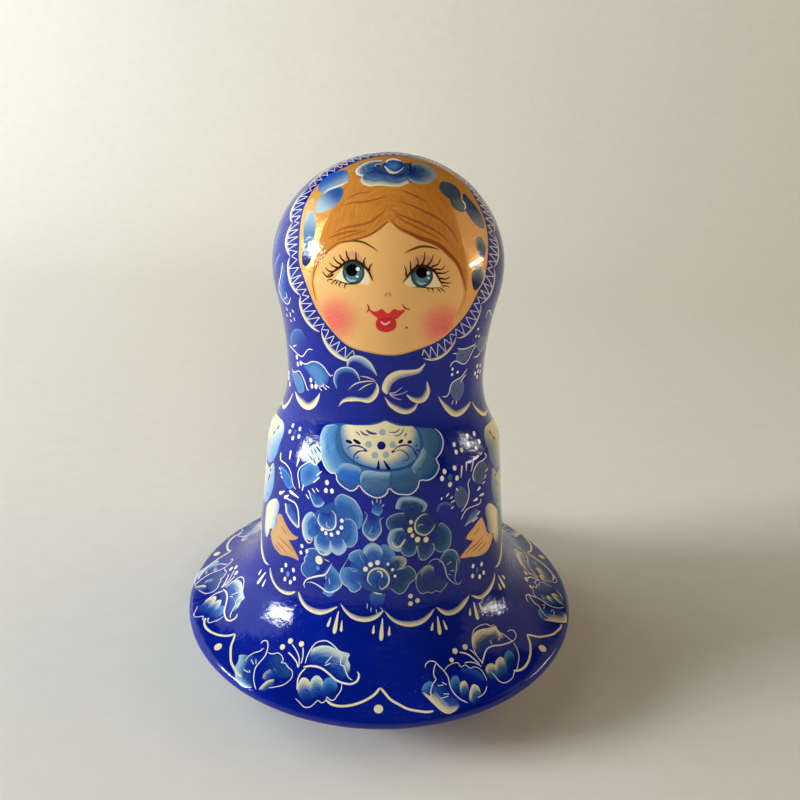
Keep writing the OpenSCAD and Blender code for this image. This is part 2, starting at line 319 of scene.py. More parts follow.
def reach(pixels):
    """Places on the skin under pixels; a pixel beside the doll takes the nearest place on its edge."""
    pixels = np.asarray(pixels, float).reshape(-1, 2)
    off = (pixels - FRAME_SIDE / 2) / FOCAL
    ray = VIEW_FORWARD + off[:, :1] * VIEW_RIGHT - off[:, 1:] * VIEW_UP
    ray /= np.linalg.norm(ray, axis=1)[:, None]
    gap = beside(CAMERA_AT + VIEW_REACH[None, :, None] * ray[:, None, :])
    inside = gap < 0
    missed = ~inside.any(axis=1)
    first = np.where(missed, gap.argmin(axis=1), inside.argmax(axis=1))
    far = VIEW_REACH[first]
    near = np.where(missed, far, far - VIEW_STEP)
    for _ in range(HALVINGS):
        middle = (near + far) / 2
        out = beside(CAMERA_AT + middle[:, None] * ray) > 0
        near = np.where(out & ~missed, middle, near)
        far = np.where(out | missed, far, middle)
    return settle(CAMERA_AT + far[:, None] * ray)


def girth(side):
    """A chart of the skin by degrees to one side of the front and millimetres below the crown."""
    def chart(pairs):
        run = np.interp(pairs[..., 1], CROWN_Z - skin_line[:, 1], skin_run)
        return np.stack([side * np.radians(pairs[..., 0]), run], axis=-1)
    return chart


def spots(text):
    """Pixels of the photograph, written as "x,y x,y" or already paired, as an array of pairs."""
    if not isinstance(text, str):
        return np.asarray(text, float)
    return np.array([[float(n) for n in pair.split(",")] for pair in text.split()])


def flow(points, count, closed=False):
    """Evenly spaced points along the smooth curve through a few given ones."""
    loop = np.vstack([points, points[:1]]) if closed else np.asarray(points, float)
    steps = np.sqrt(np.linalg.norm(np.diff(loop, axis=0), axis=1))[:, None]
    slopes = np.diff(loop, axis=0) / steps
    if closed:
        before, short = np.roll(slopes, 1, axis=0), np.roll(steps, 1, axis=0)
        lean = (before * steps + slopes * short) / (steps + short)
        lean = np.vstack([lean, lean[:1]])
    else:
        middle = (slopes[:-1] * steps[1:] + slopes[1:] * steps[:-1]) / (steps[1:] + steps[:-1])
        lean = np.vstack([slopes[:1], middle, slopes[-1:]])
    t = np.linspace(0, 1, CURVE_STEPS, endpoint=False)[:, None]
    pieces = []
    for i, step in enumerate(steps):
        a, b = loop[i], loop[i + 1]
        pieces.append((2 * t ** 3 - 3 * t ** 2 + 1) * a + (t ** 3 - 2 * t ** 2 + t) * step * lean[i]
                      + (3 * t ** 2 - 2 * t ** 3) * b + (t ** 3 - t ** 2) * step * lean[i + 1])
    dense = np.vstack(pieces + [loop[-1:]])
    length = np.concatenate([[0], np.cumsum(np.linalg.norm(np.diff(dense, axis=0), axis=1))])
    along = np.linspace(0, length[-1], count, endpoint=not closed)
    return np.stack([np.interp(along, length, dense[:, k]) for k in range(dense.shape[1])], axis=1)


def long(points):
    """Length of a row of points."""
    return np.linalg.norm(np.diff(points, axis=0), axis=1).sum()


def ease(low, high, value):
    """Smooth step from nought at low to one at high."""
    t = np.clip((value - low) / (high - low), 0, 1)
    return t * t * (3 - 2 * t)


# Widths of the brush along a stroke, from its start to its end

def round_end(share, cap=0.1):
    return np.sqrt(np.clip(1 - (1 - np.clip(share / cap, 0, 1)) ** 2, 0.02, 1))


def steady(share):
    return round_end(share) * round_end(1 - share)


def drop(share):
    return (0.12 + 0.88 * share ** 0.8) * round_end(1 - share, 0.3)


def comma(share):
    return drop(1 - share)


def swell(share):
    return np.maximum(0.1, np.sin(math.pi * share) ** 0.7)


def tail(share):
    return (1 - 0.82 * share) * round_end(share, 0.08)


def faces_inwards(points, aims):
    """Whether a grid of points, taken along its rows and then down, turns its back to the outside."""
    along = points[:-1, 1:] - points[:-1, :-1]
    down = points[1:, :-1] - points[:-1, :-1]
    return (np.cross(along, down) * aims[:-1, :-1]).sum() < 0


def closer(skin, arrays):
    """Places on the skin with rows added where they are far apart, and arrays that go with them."""
    gap = np.linalg.norm(np.diff(place(skin, 0)[0], axis=0), axis=2).max(axis=1)
    steps = np.maximum(1, np.ceil(gap / LONGEST_STEP)).astype(int)
    rows = np.concatenate([[0]] + [i + np.arange(1, n + 1) / n for i, n in enumerate(steps)])
    low = np.minimum(rows.astype(int), len(skin) - 2)
    part = (rows - low)[:, None, None]
    return [a[low] + (a[low + 1] - a[low]) * part for a in [skin] + arrays]


def stand(name, data):
    """A new object in the scene, from its mesh, light or camera."""
    made = bpy.data.objects.new(name, data)
    bpy.context.scene.collection.objects.link(made)
    return made


class Brushwork:
    """The strokes of one painted motif, gathered into one mesh that rides on the doll.

    A chart takes the strokes to the skin: from pixels, from degrees and millimetres, or from points
    beside it."""
    begun = []

    def __init__(self, name, paint, turn=0, chart=reach):
        self.begun.append(self)
        self.name = name
        self.paint = paint
        self.turn = math.radians(turn)
        self.chart = chart
        self.fine = 1 if chart is reach else 1 / PX
        self.points, self.aims, self.coats, self.faces, self.outside = [], [], [], [], []
        self.count = 0

    def add(self, points, aims, coat):
        """Stores vertices with their coat of paint and returns the number of the first."""
        self.points.append(points)
        self.aims.append(aims)
        self.coats.append(coat)
        self.count += len(points)
        return self.count - len(points)

    def steps(self, path, least, most):
        """How many points a smooth stroke along a path needs."""
        return int(np.clip(long(path) * self.fine / POINT_EVERY + SPARE_POINTS, least, most))

    def face(self, corners, outside):
        self.faces.append(corners if outside else corners[::-1])
        self.outside.append(outside)

    def lay(self, skin, height, paint, amount, ground, brush, ring=False):
        """Adds one closed stroke over a grid of places, and closes it just inside the ground coat.

        Paint is one colour, or a light one, a body one and the share of the body. The rows of a ring go
        round, from its edge in to its heart. On cobalt, the ground coat itself shows through."""
        rows, cols = skin.shape[:2]
        skin = skin + np.array([self.turn, 0])
        light, body, blend = paint if isinstance(paint, tuple) else (paint, paint, 0.0)
        shares = [np.asarray(value, float)[..., None] for value in (amount, blend, ground is not COBALT)]
        parts = (light, shares[0], body, shares[1], ground, shares[2], brush)
        coat = np.concatenate([np.broadcast_to(part, (rows, cols, wide))
                               for part, wide in zip(parts, (3, 1, 3, 1, 3, 1, 2))], axis=2)
        if faces_inwards(*place(skin, 0)):
            skin, height, coat = skin[:, ::-1], height[:, ::-1], coat[:, ::-1]
        coat = coat.reshape(rows * cols, -1)
        rim = np.zeros((rows, cols), bool)
        rim[0] = True
        if not ring:
            rim[-1] = rim[:, 0] = rim[:, -1] = True
        points, aims = place(skin, np.where(rim, -SINK, height))
        top = self.add(points.reshape(-1, 3), aims.reshape(-1, 3), coat)
        top = top + np.arange(rows * cols).reshape(rows, cols)
        inner = ~rim
        low, low_aims = place(skin[inner], np.full(inner.sum(), -2 * SINK))
        under = top.copy()
        under[inner] = np.arange(inner.sum()) + self.add(low, low_aims, coat[inner.reshape(-1)])
        across = cols if ring else cols - 1
        for i in range(rows - 1):
            for j in range(across):
                k = (j + 1) % cols
                self.face((top[i, j], top[i, k], top[i + 1, k], top[i + 1, j]), True)
                self.face((under[i, j], under[i, k], under[i + 1, k], under[i + 1, j]), False)
        if ring:
            self.face(tuple(top[-1]), True)
            self.face(tuple(under[-1]), False)

    def ribbon(self, path, width, shape=steady, paint=WHITE, amount=1.0, ground=COBALT, lift=LINE):
        """A stroke of the brush along pixels, with its greatest width in pixels of the doll's front."""
        route = spots(path)
        skin = self.chart(flow(route, self.steps(route, 6, 64)))
        skin[:, 0] = np.unwrap(skin[:, 0])
        skin = closer(skin[:, None], [])[0][:, 0]
        count = len(skin)
        centre, aim = place(skin, 0)
        ahead = np.gradient(centre, axis=0)
        ahead /= np.linalg.norm(ahead, axis=1)[:, None] + 1e-9
        aside = np.cross(ahead, aim)
        share = np.linspace(0, 1, count)
        half = width * PX * PEN / 2 * shape(share)
        across = half[:, None] * RIBBON_ROWS
        grid = centre[:, None, :] + aside[:, None, :] * across[..., None]
        brush = np.stack(np.broadcast_arrays(across, (share * long(centre))[:, None]), axis=-1)
        height = np.broadcast_to(lift * RIBBON_DOME, across.shape)
        self.lay(settle(grid), height, paint, amount, ground, brush)

    def strokes(self, paths, *how, **more):
        """Several strokes of one kind, as "path|path"."""
        for path in paths.split("|"):
            self.ribbon(path, *how, **more)

    def dashes(self, paths, width, shape=steady, paint=WHITE, lift=LINE):
        """Short strokes from one pixel to another, as "x,y-x,y x,y-x,y"."""
        for path in paths.split():
            self.ribbon(path.replace("-", " "), width, shape, paint, lift=lift)

    def dots(self, centres, radius, paint=WHITE, lift=BEAD, tall=1.0, rim=None):
        """Raised round beads of paint, taller than wide by a factor, and a rim of another colour if given."""
        sides = DOT_SIDES[radius >= LARGE_DOT]
        angles = np.linspace(0, 2 * math.pi, sides, endpoint=False)
        edge = paint if rim is None else rim
        load = paint + (edge - paint) * ease(0.5, 0.95, DOT_RINGS)[:, None, None]
        reached = radius * PX * DOT_RINGS[:, None]
        brush = np.stack([reached * np.cos(angles), reached * np.sin(angles)], axis=-1)
        height = np.broadcast_to(lift * DOT_DOME[:, None], brush.shape[:2])
        for centre, aim in zip(*place(self.chart(spots(centres)), 0)):
            side = np.cross(np.array([0, 0, 1.0]), aim)
            side /= np.linalg.norm(side) + 1e-9
            rise = np.cross(aim, side) * tall
            hoop = np.cos(angles)[:, None] * side + np.sin(angles)[:, None] * rise
            grid = centre + reached[..., None] * hoop
            self.lay(settle(grid), height, load, 1.0, paint, brush, ring=True)

    def patch(self, rows, paint, amount, ground, lift, ring=False, hairs_across=False):
        """A filled stroke over rows of pixels, its first row the edge that the brush was loaded for."""
        shape = rows.shape[:2]
        skin = self.chart(rows.reshape(-1, rows.shape[-1])).reshape(*shape, 2)
        skin[..., 0] = np.unwrap(np.unwrap(skin[..., 0], axis=0), axis=1)
        centre, _ = place(skin, 0)
        down = np.cumsum(np.linalg.norm(np.diff(centre, axis=0, prepend=centre[:1]), axis=2), axis=0)
        along = np.cumsum(np.linalg.norm(np.diff(centre, axis=1, prepend=centre[:, :1]), axis=2), axis=1)
        along = np.broadcast_to(along[:1], shape)
        brush = np.stack([along, down] if hairs_across else [down, along], axis=-1)
        light, body, blend = paint if isinstance(paint, tuple) else (paint, paint, 0.0)
        coat = [np.broadcast_to(part, (*shape, 3)) for part in (light, body)]
        coat += [np.broadcast_to(part, shape)[..., None] for part in (blend, amount)]
        skin, light, body, blend, amount, brush = closer(skin, coat + [brush])
        height = np.full(skin.shape[:2], lift)
        self.lay(skin, height, (light, body, blend[..., 0]), amount[..., 0], ground, brush, ring)

    def petal(self, edge, heart, light=ICE, body=AZURE, fade=0.45, line=0, ground=COBALT, lift=PETAL,
              loaded=0.3, soft=0.0):
        """A petal that fades from its loaded edge in to its heart, a pixel or a row of them, with an outline.

        Soft is the share of the edge, at both its ends, over which the petal also fades sideways."""
        edge = spots(edge)
        count = self.steps(edge, 8, 60)
        outer = flow(edge, count)
        inner = flow(spots(heart), count) if isinstance(heart, str) else outer * 0.06 + np.array(heart) * 0.94
        rows = outer + (inner - outer) * PETAL_ROWS[:, None, None]
        blend = ease(0.02, loaded, PETAL_ROWS)[:, None]
        amount = (1 - ease(fade, 1.0, PETAL_ROWS))[:, None] * np.ones(count)
        if soft:
            share = np.linspace(0, 1, count)
            amount = amount * ease(0, soft, share) * ease(0, soft, 1 - share)
        self.patch(rows, (light, body, blend), amount, ground, lift)
        if line:
            self.ribbon(edge, line, paint=WHITE, amount=0.5, ground=body, lift=lift + LINE - PETAL)

    def crescent(self, edge, heart, thick, paint=CREAM, fade=0.15, lift=UPPER, hold=0.35):
        """A curved stroke, thick in pixels at its widest, loaded on its edge and thin towards its heart."""
        edge = spots(edge)
        count = self.steps(edge, 8, 60)
        outer = flow(edge, count)
        inward = np.asarray(heart, float) - outer
        inward /= np.linalg.norm(inward, axis=1)[:, None]
        width = thick * swell(np.linspace(0, 1, count))
        rows = outer + inward * (width * CRESCENT_ROWS[:, None])[..., None]
        amount = (1 - (1 - fade) * ease(hold, 1.0, CRESCENT_ROWS))[:, None]
        self.patch(rows, paint, amount, COBALT, lift)

    def band(self, outer, inner, paint=CREAM, fade=0.2, ground=COBALT, lift=UPPER, steps=6, amount=None):
        """A stroke between two edges, loaded on the outer one."""
        outer, inner = spots(outer), spots(inner)
        count = int(np.clip(max(long(outer), long(inner)) / POINT_EVERY + SPARE_POINTS, 8, 70))
        depth = np.linspace(0, 1, steps)
        rows = flow(outer, count) + (flow(inner, count) - flow(outer, count)) * depth[:, None, None]
        if amount is None:
            amount = (1 - (1 - fade) * ease(0.3, 1.0, depth))[:, None]
        self.patch(rows, paint, amount, ground, lift)

    def blot(self, outline, heart, light=ICE, body=AZURE, ground=COBALT, lift=PETAL, loaded=0.35, blend=1.0,
             rings=BLOT_RINGS, fade=None):
        """A filled shape, light at its edge, laid in one share or by a rule over its pixels."""
        edge = spots(outline)
        count = self.steps(edge, 10, 400)
        depth = np.array(rings)
        ring = flow(edge, count, closed=True)
        rows = ring + (np.asarray(heart, float) - ring) * depth[:, None, None]
        turned_in = ease(0.0, loaded, depth)[:, None]
        amount = blend(rows) if callable(blend) else np.full(rows.shape[:2], blend)
        if fade is not None:
            amount = amount * (1 - ease(fade, 1.0, depth))[:, None]
        self.patch(rows, (light, body, turned_in), amount, ground, lift, ring=True, hairs_across=True)

    def hang(self):
        """Makes the mesh and hands it to the doll."""
        mesh = bpy.data.meshes.new(self.name)
        mesh.from_pydata((np.vstack(self.points) * MM).tolist(), [], [tuple(map(int, f)) for f in self.faces])
        coat = np.vstack(self.coats).astype(np.float32)
        for label, first in (("load", 0), ("body", 4), ("ground", 8)):
            colours = mesh.color_attributes.new(label, "FLOAT_COLOR", "POINT")
            colours.data.foreach_set("color", coat[:, first:first + 4].ravel())
        corners = np.empty(len(mesh.loops), np.int32)
        mesh.loops.foreach_get("vertex_index", corners)
        brush = mesh.uv_layers.new(name="brush")
        brush.data.foreach_set("uv", coat[corners, 12:].ravel())
        sides = np.repeat(np.where(self.outside, 1.0, -1.0), [len(f) for f in self.faces])
        mesh.shade_smooth()
        mesh.normals_split_custom_set((np.vstack(self.aims)[corners] * sides[:, None]).tolist())
        mesh.materials.append(self.paint)
        piece = stand(self.name, mesh)
        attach(piece, "doll")


# Shared effects of the finishes

def colour4(paint):
    return (*paint, 1.0)


def group(name, inputs, outputs):
    """An empty shader node group with its named sockets."""
    tree = bpy.data.node_groups.new(name, "ShaderNodeTree")
    for label, kind, value in inputs:
        socket = tree.interface.new_socket(label, in_out="INPUT", socket_type="NodeSocket" + kind)
        if value is not None:
            socket.default_value = value
    for label, kind in outputs:
        tree.interface.new_socket(label, in_out="OUTPUT", socket_type="NodeSocket" + kind)
    given = tree.nodes.new("NodeGroupInput").outputs
    return tree, given, tree.nodes.new("NodeGroupOutput")


def node(tree, kind, links=None, **settings):
    """A node with its settings, its plain input values and its incoming links."""
    made = tree.nodes.new("ShaderNode" + kind)
    for key, value in settings.items():
        setattr(made, key, value)
    for key, value in (links or {}).items():
        if isinstance(value, bpy.types.NodeSocket):
            tree.links.new(value, made.inputs[key])
        else:
            made.inputs[key].default_value = value
    return made


def link(tree, target, **sockets):
    """Links sockets into a node's inputs of the same names."""
    for label, socket in sockets.items():
        tree.links.new(socket, target.inputs[label])


def use(tree, effect, links):
    """One of the shared effects at work in a finish or in another effect."""
    return node(tree, "Group", links, node_tree=effect)


def math_node(tree, operation, a, b, c=None, clamp=False):
    links = {0: a, 1: b}
    if c is not None:
        links[2] = c
    return node(tree, "Math", links, operation=operation, use_clamp=clamp).outputs[0]


def mix_node(tree, share, a, b):
    return node(tree, "Mix", {0: share, 6: a, 7: b}, data_type="RGBA").outputs[2]


def spread(tree, value, low, high, to_low=0.0, to_high=1.0):
    links = {"Value": value, "From Min": low, "From Max": high, "To Min": to_low, "To Max": to_high}
    return node(tree, "MapRange", links, clamp=True).outputs["Result"]


def noise(tree, where, scale, detail=3.0, roughness=0.5):
    links = {"Vector": where, "Scale": scale, "Detail": detail, "Roughness": roughness}
    return node(tree, "TexNoise", links).outputs["Fac"]


MEAN_STREAK = 0.48


def make_brush_hairs():
    """Streaks that the hairs of a brush leave along a stroke."""
    tree, given, out = group("brush_hairs", [("Brush", "Vector", None), ("Fineness", "Float", 5.0),
                                             ("Drag", "Float", 0.25)], [("Streak", "Float")])
    place_in = node(tree, "SeparateXYZ", {0: given["Brush"]})
    across = math_node(tree, "MULTIPLY", place_in.outputs[0], given["Fineness"])
    along = math_node(tree, "MULTIPLY", place_in.outputs[1], given["Drag"])
    where = node(tree, "CombineXYZ", {0: across, 1: along}).outputs[0]
    link(tree, out, Streak=noise(tree, where, scale=1.0, detail=3.0, roughness=0.6))
    return tree


def make_loaded_brush(hairs):
    """Paint that a loaded brush lays over another colour, thinner where the hairs part."""
    tree, given, out = group("loaded_brush", [
        ("Load", "Color", None), ("Amount", "Float", 1.0), ("Body", "Color", None), ("Blend", "Float", 0.0),
        ("Ground", "Color", None), ("Brush", "Vector", None), ("Fineness", "Float", 5.0),
        ("Streaks", "Float", 0.3)], [("Color", "Color"), ("Height", "Float")])
    streak = use(tree, hairs, {"Brush": given["Brush"], "Fineness": given["Fineness"]})
    parted = math_node(tree, "SUBTRACT", streak.outputs["Streak"], MEAN_STREAK)
    parted = math_node(tree, "MULTIPLY", parted, given["Streaks"])
    turned_in = math_node(tree, "ADD", given["Blend"], parted, clamp=True)
    laid = mix_node(tree, turned_in, given["Load"], given["Body"])
    thin = math_node(tree, "MULTIPLY_ADD", parted, -0.6, 1.0)
    share = math_node(tree, "MULTIPLY", given["Amount"], thin, clamp=True)
    colour = mix_node(tree, share, given["Ground"], laid)
    link(tree, out, Color=colour, Height=math_node(tree, "MULTIPLY", share, streak.outputs["Streak"]))
    return tree


FINE_RIPPLE = 0.42          # of the brushed ripple, beside the slow one
HAZE_ROUGH = 0.07           # roughness that a hazy patch adds
DUST_SHARE = 0.45


def make_old_lacquer():
    """Clear lacquer after years of handling: brushed ripple, hazy patches, fine scratches and dust specks."""
    tree, given, out = group("old_lacquer", [("Color", "Color", None), ("Where", "Vector", None),
                                             ("Ripple", "Float", 1.0), ("Gloss", "Float", 0.05),
                                             ("Wear", "Float", 0.2)],
                             [("Color", "Color"), ("Roughness", "Float"), ("Height", "Float")])
    where = given["Where"]
    slow = noise(tree, where, scale=110.0, detail=2.0)
    brushed = node(tree, "Mapping", {"Vector": where, "Rotation": (0.0, 0.4, 0.5),
                                     "Scale": (190.0, 900.0, 900.0)}).outputs[0]
    fine = noise(tree, brushed, scale=1.0, detail=3.0, roughness=0.55)
    rippled = math_node(tree, "MULTIPLY_ADD", fine, FINE_RIPPLE, slow)
    link(tree, out, Height=math_node(tree, "MULTIPLY", rippled, given["Ripple"]))
    haze = spread(tree, noise(tree, where, scale=60.0, detail=4.0, roughness=0.65), 0.45, 0.7)
    rough = math_node(tree, "MULTIPLY_ADD", haze, HAZE_ROUGH, given["Gloss"])
    grain = node(tree, "TexVoronoi", {"Vector": where, "Scale": 900.0})
    crowd = spread(tree, noise(tree, where, scale=45.0, detail=2.0), 0.52, 0.66)
    small = spread(tree, grain.outputs["Distance"], 0.10, 0.05)
    specks = math_node(tree, "MULTIPLY", small, crowd)
    stretch = node(tree, "Mapping", {"Vector": where, "Scale": (260.0, 260.0, 2600.0)}).outputs[0]
    scratch = spread(tree, noise(tree, stretch, scale=1.0, detail=2.0), 0.69, 0.74)
    smear = math_node(tree, "MULTIPLY", spread(tree, fine, 0.35, 0.7, 0.0, 0.6), haze)
    rub = math_node(tree, "MAXIMUM", math_node(tree, "MULTIPLY", scratch, haze), smear)
    rub = math_node(tree, "MULTIPLY", rub, given["Wear"])
    rubbed = mix_node(tree, rub, given["Color"], colour4(RUBBED))
    dusty = mix_node(tree, math_node(tree, "MULTIPLY", specks, DUST_SHARE), rubbed, colour4(DUST))
    link(tree, out, Color=dusty, Roughness=rough)
    return tree


def make_cobalt_ground():
    """The blue ground coat as it was brushed on while the body turned: cloudy, with faint rings."""
    tree, given, out = group("cobalt_ground", [("Where", "Vector", None)], [("Color", "Color")])
    where = given["Where"]
    cloud = noise(tree, where, scale=35.0, detail=4.0, roughness=0.6)
    blue = mix_node(tree, spread(tree, cloud, 0.35, 0.7), colour4(COBALT * 0.8), colour4(COBALT * 1.2))
    ring = node(tree, "Mapping", {"Vector": where, "Scale": (30.0, 30.0, 900.0)}).outputs[0]
    rings = spread(tree, noise(tree, ring, scale=1.0, detail=2.0), 0.45, 0.75, 0.0, 0.16)
    link(tree, out, Color=mix_node(tree, rings, blue, colour4(DEEP)))
    return tree


brush_hairs = make_brush_hairs()
cobalt_ground = make_cobalt_ground()
loaded_brush = make_loaded_brush(brush_hairs)
old_lacquer = make_old_lacquer()


def finish_shader(name):
    """A new material with its Principled shader and the object's own coordinates."""
    material = bpy.data.materials.new(name)
    material.use_nodes = True
    tree = material.node_tree
    shader = tree.nodes["Principled BSDF"]
    where = tree.nodes.new("ShaderNodeTexCoord").outputs["Object"]
    return material, tree, shader, where


def dress(tree, shader, coat, height, strength, distance):
    """Gives the shader an effect's colour and roughness, and a height as its relief."""
    tree.links.new(coat.outputs["Color"], shader.inputs["Base Color"])
    tree.links.new(coat.outputs["Roughness"], shader.inputs["Roughness"])
    made = node(tree, "Bump", {"Height": height, "Strength": strength, "Distance": distance})
    tree.links.new(made.outputs["Normal"], shader.inputs["Normal"])


LACQUER_DEPTH = 0.00024     # metres from the hollows of the lacquer's ripple to its tops
LACQUER_MIRROR = 0.29       # how strongly the lacquer mirrors
VARNISH_GLOSS = 0.04        # roughness of the clear varnish over the gold


def stroke_paint(name, streaks, fineness, ripple=1.0, gloss=0.05, wear=0.1, metal=0.0, hair_relief=0.15,
                 varnish=0.0):
    """Paint whose colours ride on the strokes, under the doll's clear lacquer."""
    material, tree, shader, where = finish_shader(name)
    load = node(tree, "Attribute", attribute_name="load")
    body = node(tree, "Attribute", attribute_name="body")
    under = node(tree, "Attribute", attribute_name="ground")
    brush = node(tree, "UVMap", uv_map="brush").outputs[0]
    blue = use(tree, cobalt_ground, {"Where": where}).outputs["Color"]
    ground = mix_node(tree, under.outputs["Alpha"], blue, under.outputs["Color"])
    painted = use(tree, loaded_brush, {"Load": load.outputs["Color"], "Amount": load.outputs["Alpha"],
                                       "Body": body.outputs["Color"], "Blend": body.outputs["Alpha"],
                                       "Ground": ground, "Brush": brush,
                                       "Fineness": fineness, "Streaks": streaks})
    coat = use(tree, old_lacquer, {"Color": painted.outputs["Color"], "Where": where, "Ripple": ripple,
                                   "Gloss": gloss, "Wear": wear})
    shader.inputs["Metallic"].default_value = metal
    shader.inputs["Coat Weight"].default_value = varnish
    shader.inputs["Coat Roughness"].default_value = VARNISH_GLOSS
    shader.inputs["Specular IOR Level"].default_value = LACQUER_MIRROR
    height = math_node(tree, "MULTIPLY_ADD", painted.outputs["Height"], hair_relief, coat.outputs["Height"])
    dress(tree, shader, coat, height, 1.0, LACQUER_DEPTH)
    return material


def cobalt_lacquer(name, worn):
    """The doll's blue ground coat under lacquer, rubbed thin where hands and the table reach it."""
    material, tree, shader, where = finish_shader(name)
    blue = use(tree, cobalt_ground, {"Where": where}).outputs["Color"]
    coat = use(tree, old_lacquer, {"Color": blue, "Where": where, "Wear": worn})
    shader.inputs["Specular IOR Level"].default_value = LACQUER_MIRROR
    dress(tree, shader, coat, coat.outputs["Height"], 1.0, LACQUER_DEPTH)
    return material


blue_coat = cobalt_lacquer("cobalt_lacquer", 0.07)
base_coat = cobalt_lacquer("cobalt_lacquer_base", 0.35)
skin_paint = stroke_paint("skin_tempera", 1.5, 2.6, wear=0.02)
hair_paint = stroke_paint("hair_tempera", 2.6, 1.3, wear=0.02)
gold_paint = stroke_paint("gold_band_paint", 1.4, 3.0, ripple=1.2, gloss=0.07, metal=0.15, hair_relief=0.4,
                          varnish=1.0)
feature_paint = stroke_paint("feature_tempera", 0.2, 3.0, wear=0.02)
petal_paint = stroke_paint("petal_tempera", 1.1, 2.6, wear=0.08)
line_paint = stroke_paint("line_tempera", 0.8, 3.0)
scraped_paint = stroke_paint("scraped_tempera", 0.8, 3.0, gloss=0.5)
cuff_paint = stroke_paint("sleeve_tempera", 1.0, 1.5)


# Metal finishes of the pieces inside

def make_metal_grain():
    """Cloudy colour, uneven polish and fine grain of worked metal."""
    tree, given, out = group("metal_grain", [
        ("Where", "Vector", None), ("Light", "Color", None), ("Dark", "Color", None), ("Rough", "Float", 0.3),
        ("Grain", "Float", 1200.0)], [("Color", "Color"), ("Roughness", "Float"), ("Height", "Float")])
    where = given["Where"]
    cloud = spread(tree, noise(tree, where, scale=120.0, detail=4.0, roughness=0.6), 0.35, 0.68)
    colour = mix_node(tree, cloud, given["Dark"], given["Light"])
    grain = noise(tree, where, given["Grain"], detail=4.0, roughness=0.65)
    polish = math_node(tree, "MULTIPLY", spread(tree, grain, 0.3, 0.7, 0.75, 1.35), given["Rough"])
    link(tree, out, Color=colour, Roughness=polish, Height=grain)
    return tree


metal_grain = make_metal_grain()
GRAIN_DEPTH = 0.00008       # metres


def metal(name, light, dark, rough, metallic, grain, relief):
    """A metal finish."""
    material, tree, shader, where = finish_shader(name)
    worked = use(tree, metal_grain, {"Where": where, "Light": colour4(tint(light)),
                                     "Dark": colour4(tint(dark)), "Rough": rough, "Grain": grain})
    shader.inputs["Metallic"].default_value = metallic
    dress(tree, shader, worked, worked.outputs["Height"], relief, GRAIN_DEPTH)
    return material


# Each metal as the function above takes it, and the CAD nodes made of it
METALS = (
    ("cast_iron", "#6a6a6c", "#37383b", 0.62, 0.8, 900.0, 0.6, "ballast_weight"),
    ("zinc_plate", "#d6d9dc", "#a9adb3", 0.32, 1.0, 1500.0, 0.2,
     "ballast_screws plate_screws bridge_screws striker_nut"),
    ("sheet_brass", "#e2bd6b", "#b98d3c", 0.28, 1.0, 1200.0, 0.2, "chime_plate plate_spacers"),
    ("turned_brass", "#e8c878", "#c39a48", 0.2, 1.0, 1800.0, 0.12, "swivel_washer swivel_stud striker_ball"),
    ("strip_steel", "#b4b7ba", "#7f8388", 0.38, 1.0, 1400.0, 0.3, "hanger_bridge"),
    ("bright_steel", "#d9dcdf", "#b5babf", 0.16, 1.0, 2200.0, 0.1,
     "swivel_pin striker_stem chime_rod_1 chime_rod_2 chime_rod_3 chime_rod_4 chime_rod_5 chime_rod_6 "
     "chime_rod_7 chime_rod_8"))


def finish_inner_pieces():
    """Gives every CAD node inside the doll its metal."""
    for *look, names in METALS:
        finish = metal(*look)
        for name in names.split():
            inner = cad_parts[name]
            inner.data.materials.clear()
            inner.data.materials.append(finish)


# Turned wood

def turned(name, outline, sides, paint):
    """A closed solid turned from an outline whose ends are on the axis, in place of the CAD node."""
    ring = np.linspace(0, 2 * math.pi, sides, endpoint=False)
    points, hoops = [], []
    for radius, height in outline:
        if radius < 1e-6:
            hoops.append([len(points)])
            points.append((0, 0, height))
        else:
            hoops.append(list(range(len(points), len(points) + sides)))
            points += [(radius * math.sin(a), -radius * math.cos(a), height) for a in ring]
    faces = []
    for upper, lower in zip(hoops, hoops[1:]):
        for j in range(sides):
            k = (j + 1) % sides
            left = (upper[j % len(upper)], lower[j % len(lower)])
            right = (lower[k % len(lower)], upper[k % len(upper)])
            faces.append(tuple(dict.fromkeys(left + right)))
    mesh = bpy.data.meshes.new(name)
    mesh.from_pydata((np.array(points) * MM).tolist(), [], faces)
    mesh.shade_smooth()
    mesh.set_sharp_from_angle(angle=math.radians(SHARP_TURN))
    mesh.materials.append(paint)
    piece = stand(name, mesh)
    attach(piece, "doll")
    return piece


def turn_body():
    """The hollow turned body: crown, neck, shoulder, torso and skirt in one."""
    hollow_start = -math.degrees(math.acos(NECK_BORE_R / HOLLOW_R))
    hollow = join(
        [(SOCKET_R, SEAM_Z), (SOCKET_R, SOCKET_TOP), (CHAMBER_R, SOCKET_TOP), (CHAMBER_R, CHAMBER_TOP),
         (NECK_BORE_R, CHAMBER_TOP + CHAMBER_R - NECK_BORE_R)],
        arc((0, HEAD_Z), HOLLOW_R, hollow_start, 90, steps=30))
    outline = np.vstack([even(body_outline(1), BODY_STEP), hollow])
    outline[0, 0] = outline[-1, 0] = 0
    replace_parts(turned("turned_body", outline, BODY_SIDES, blue_coat), "body_shell")


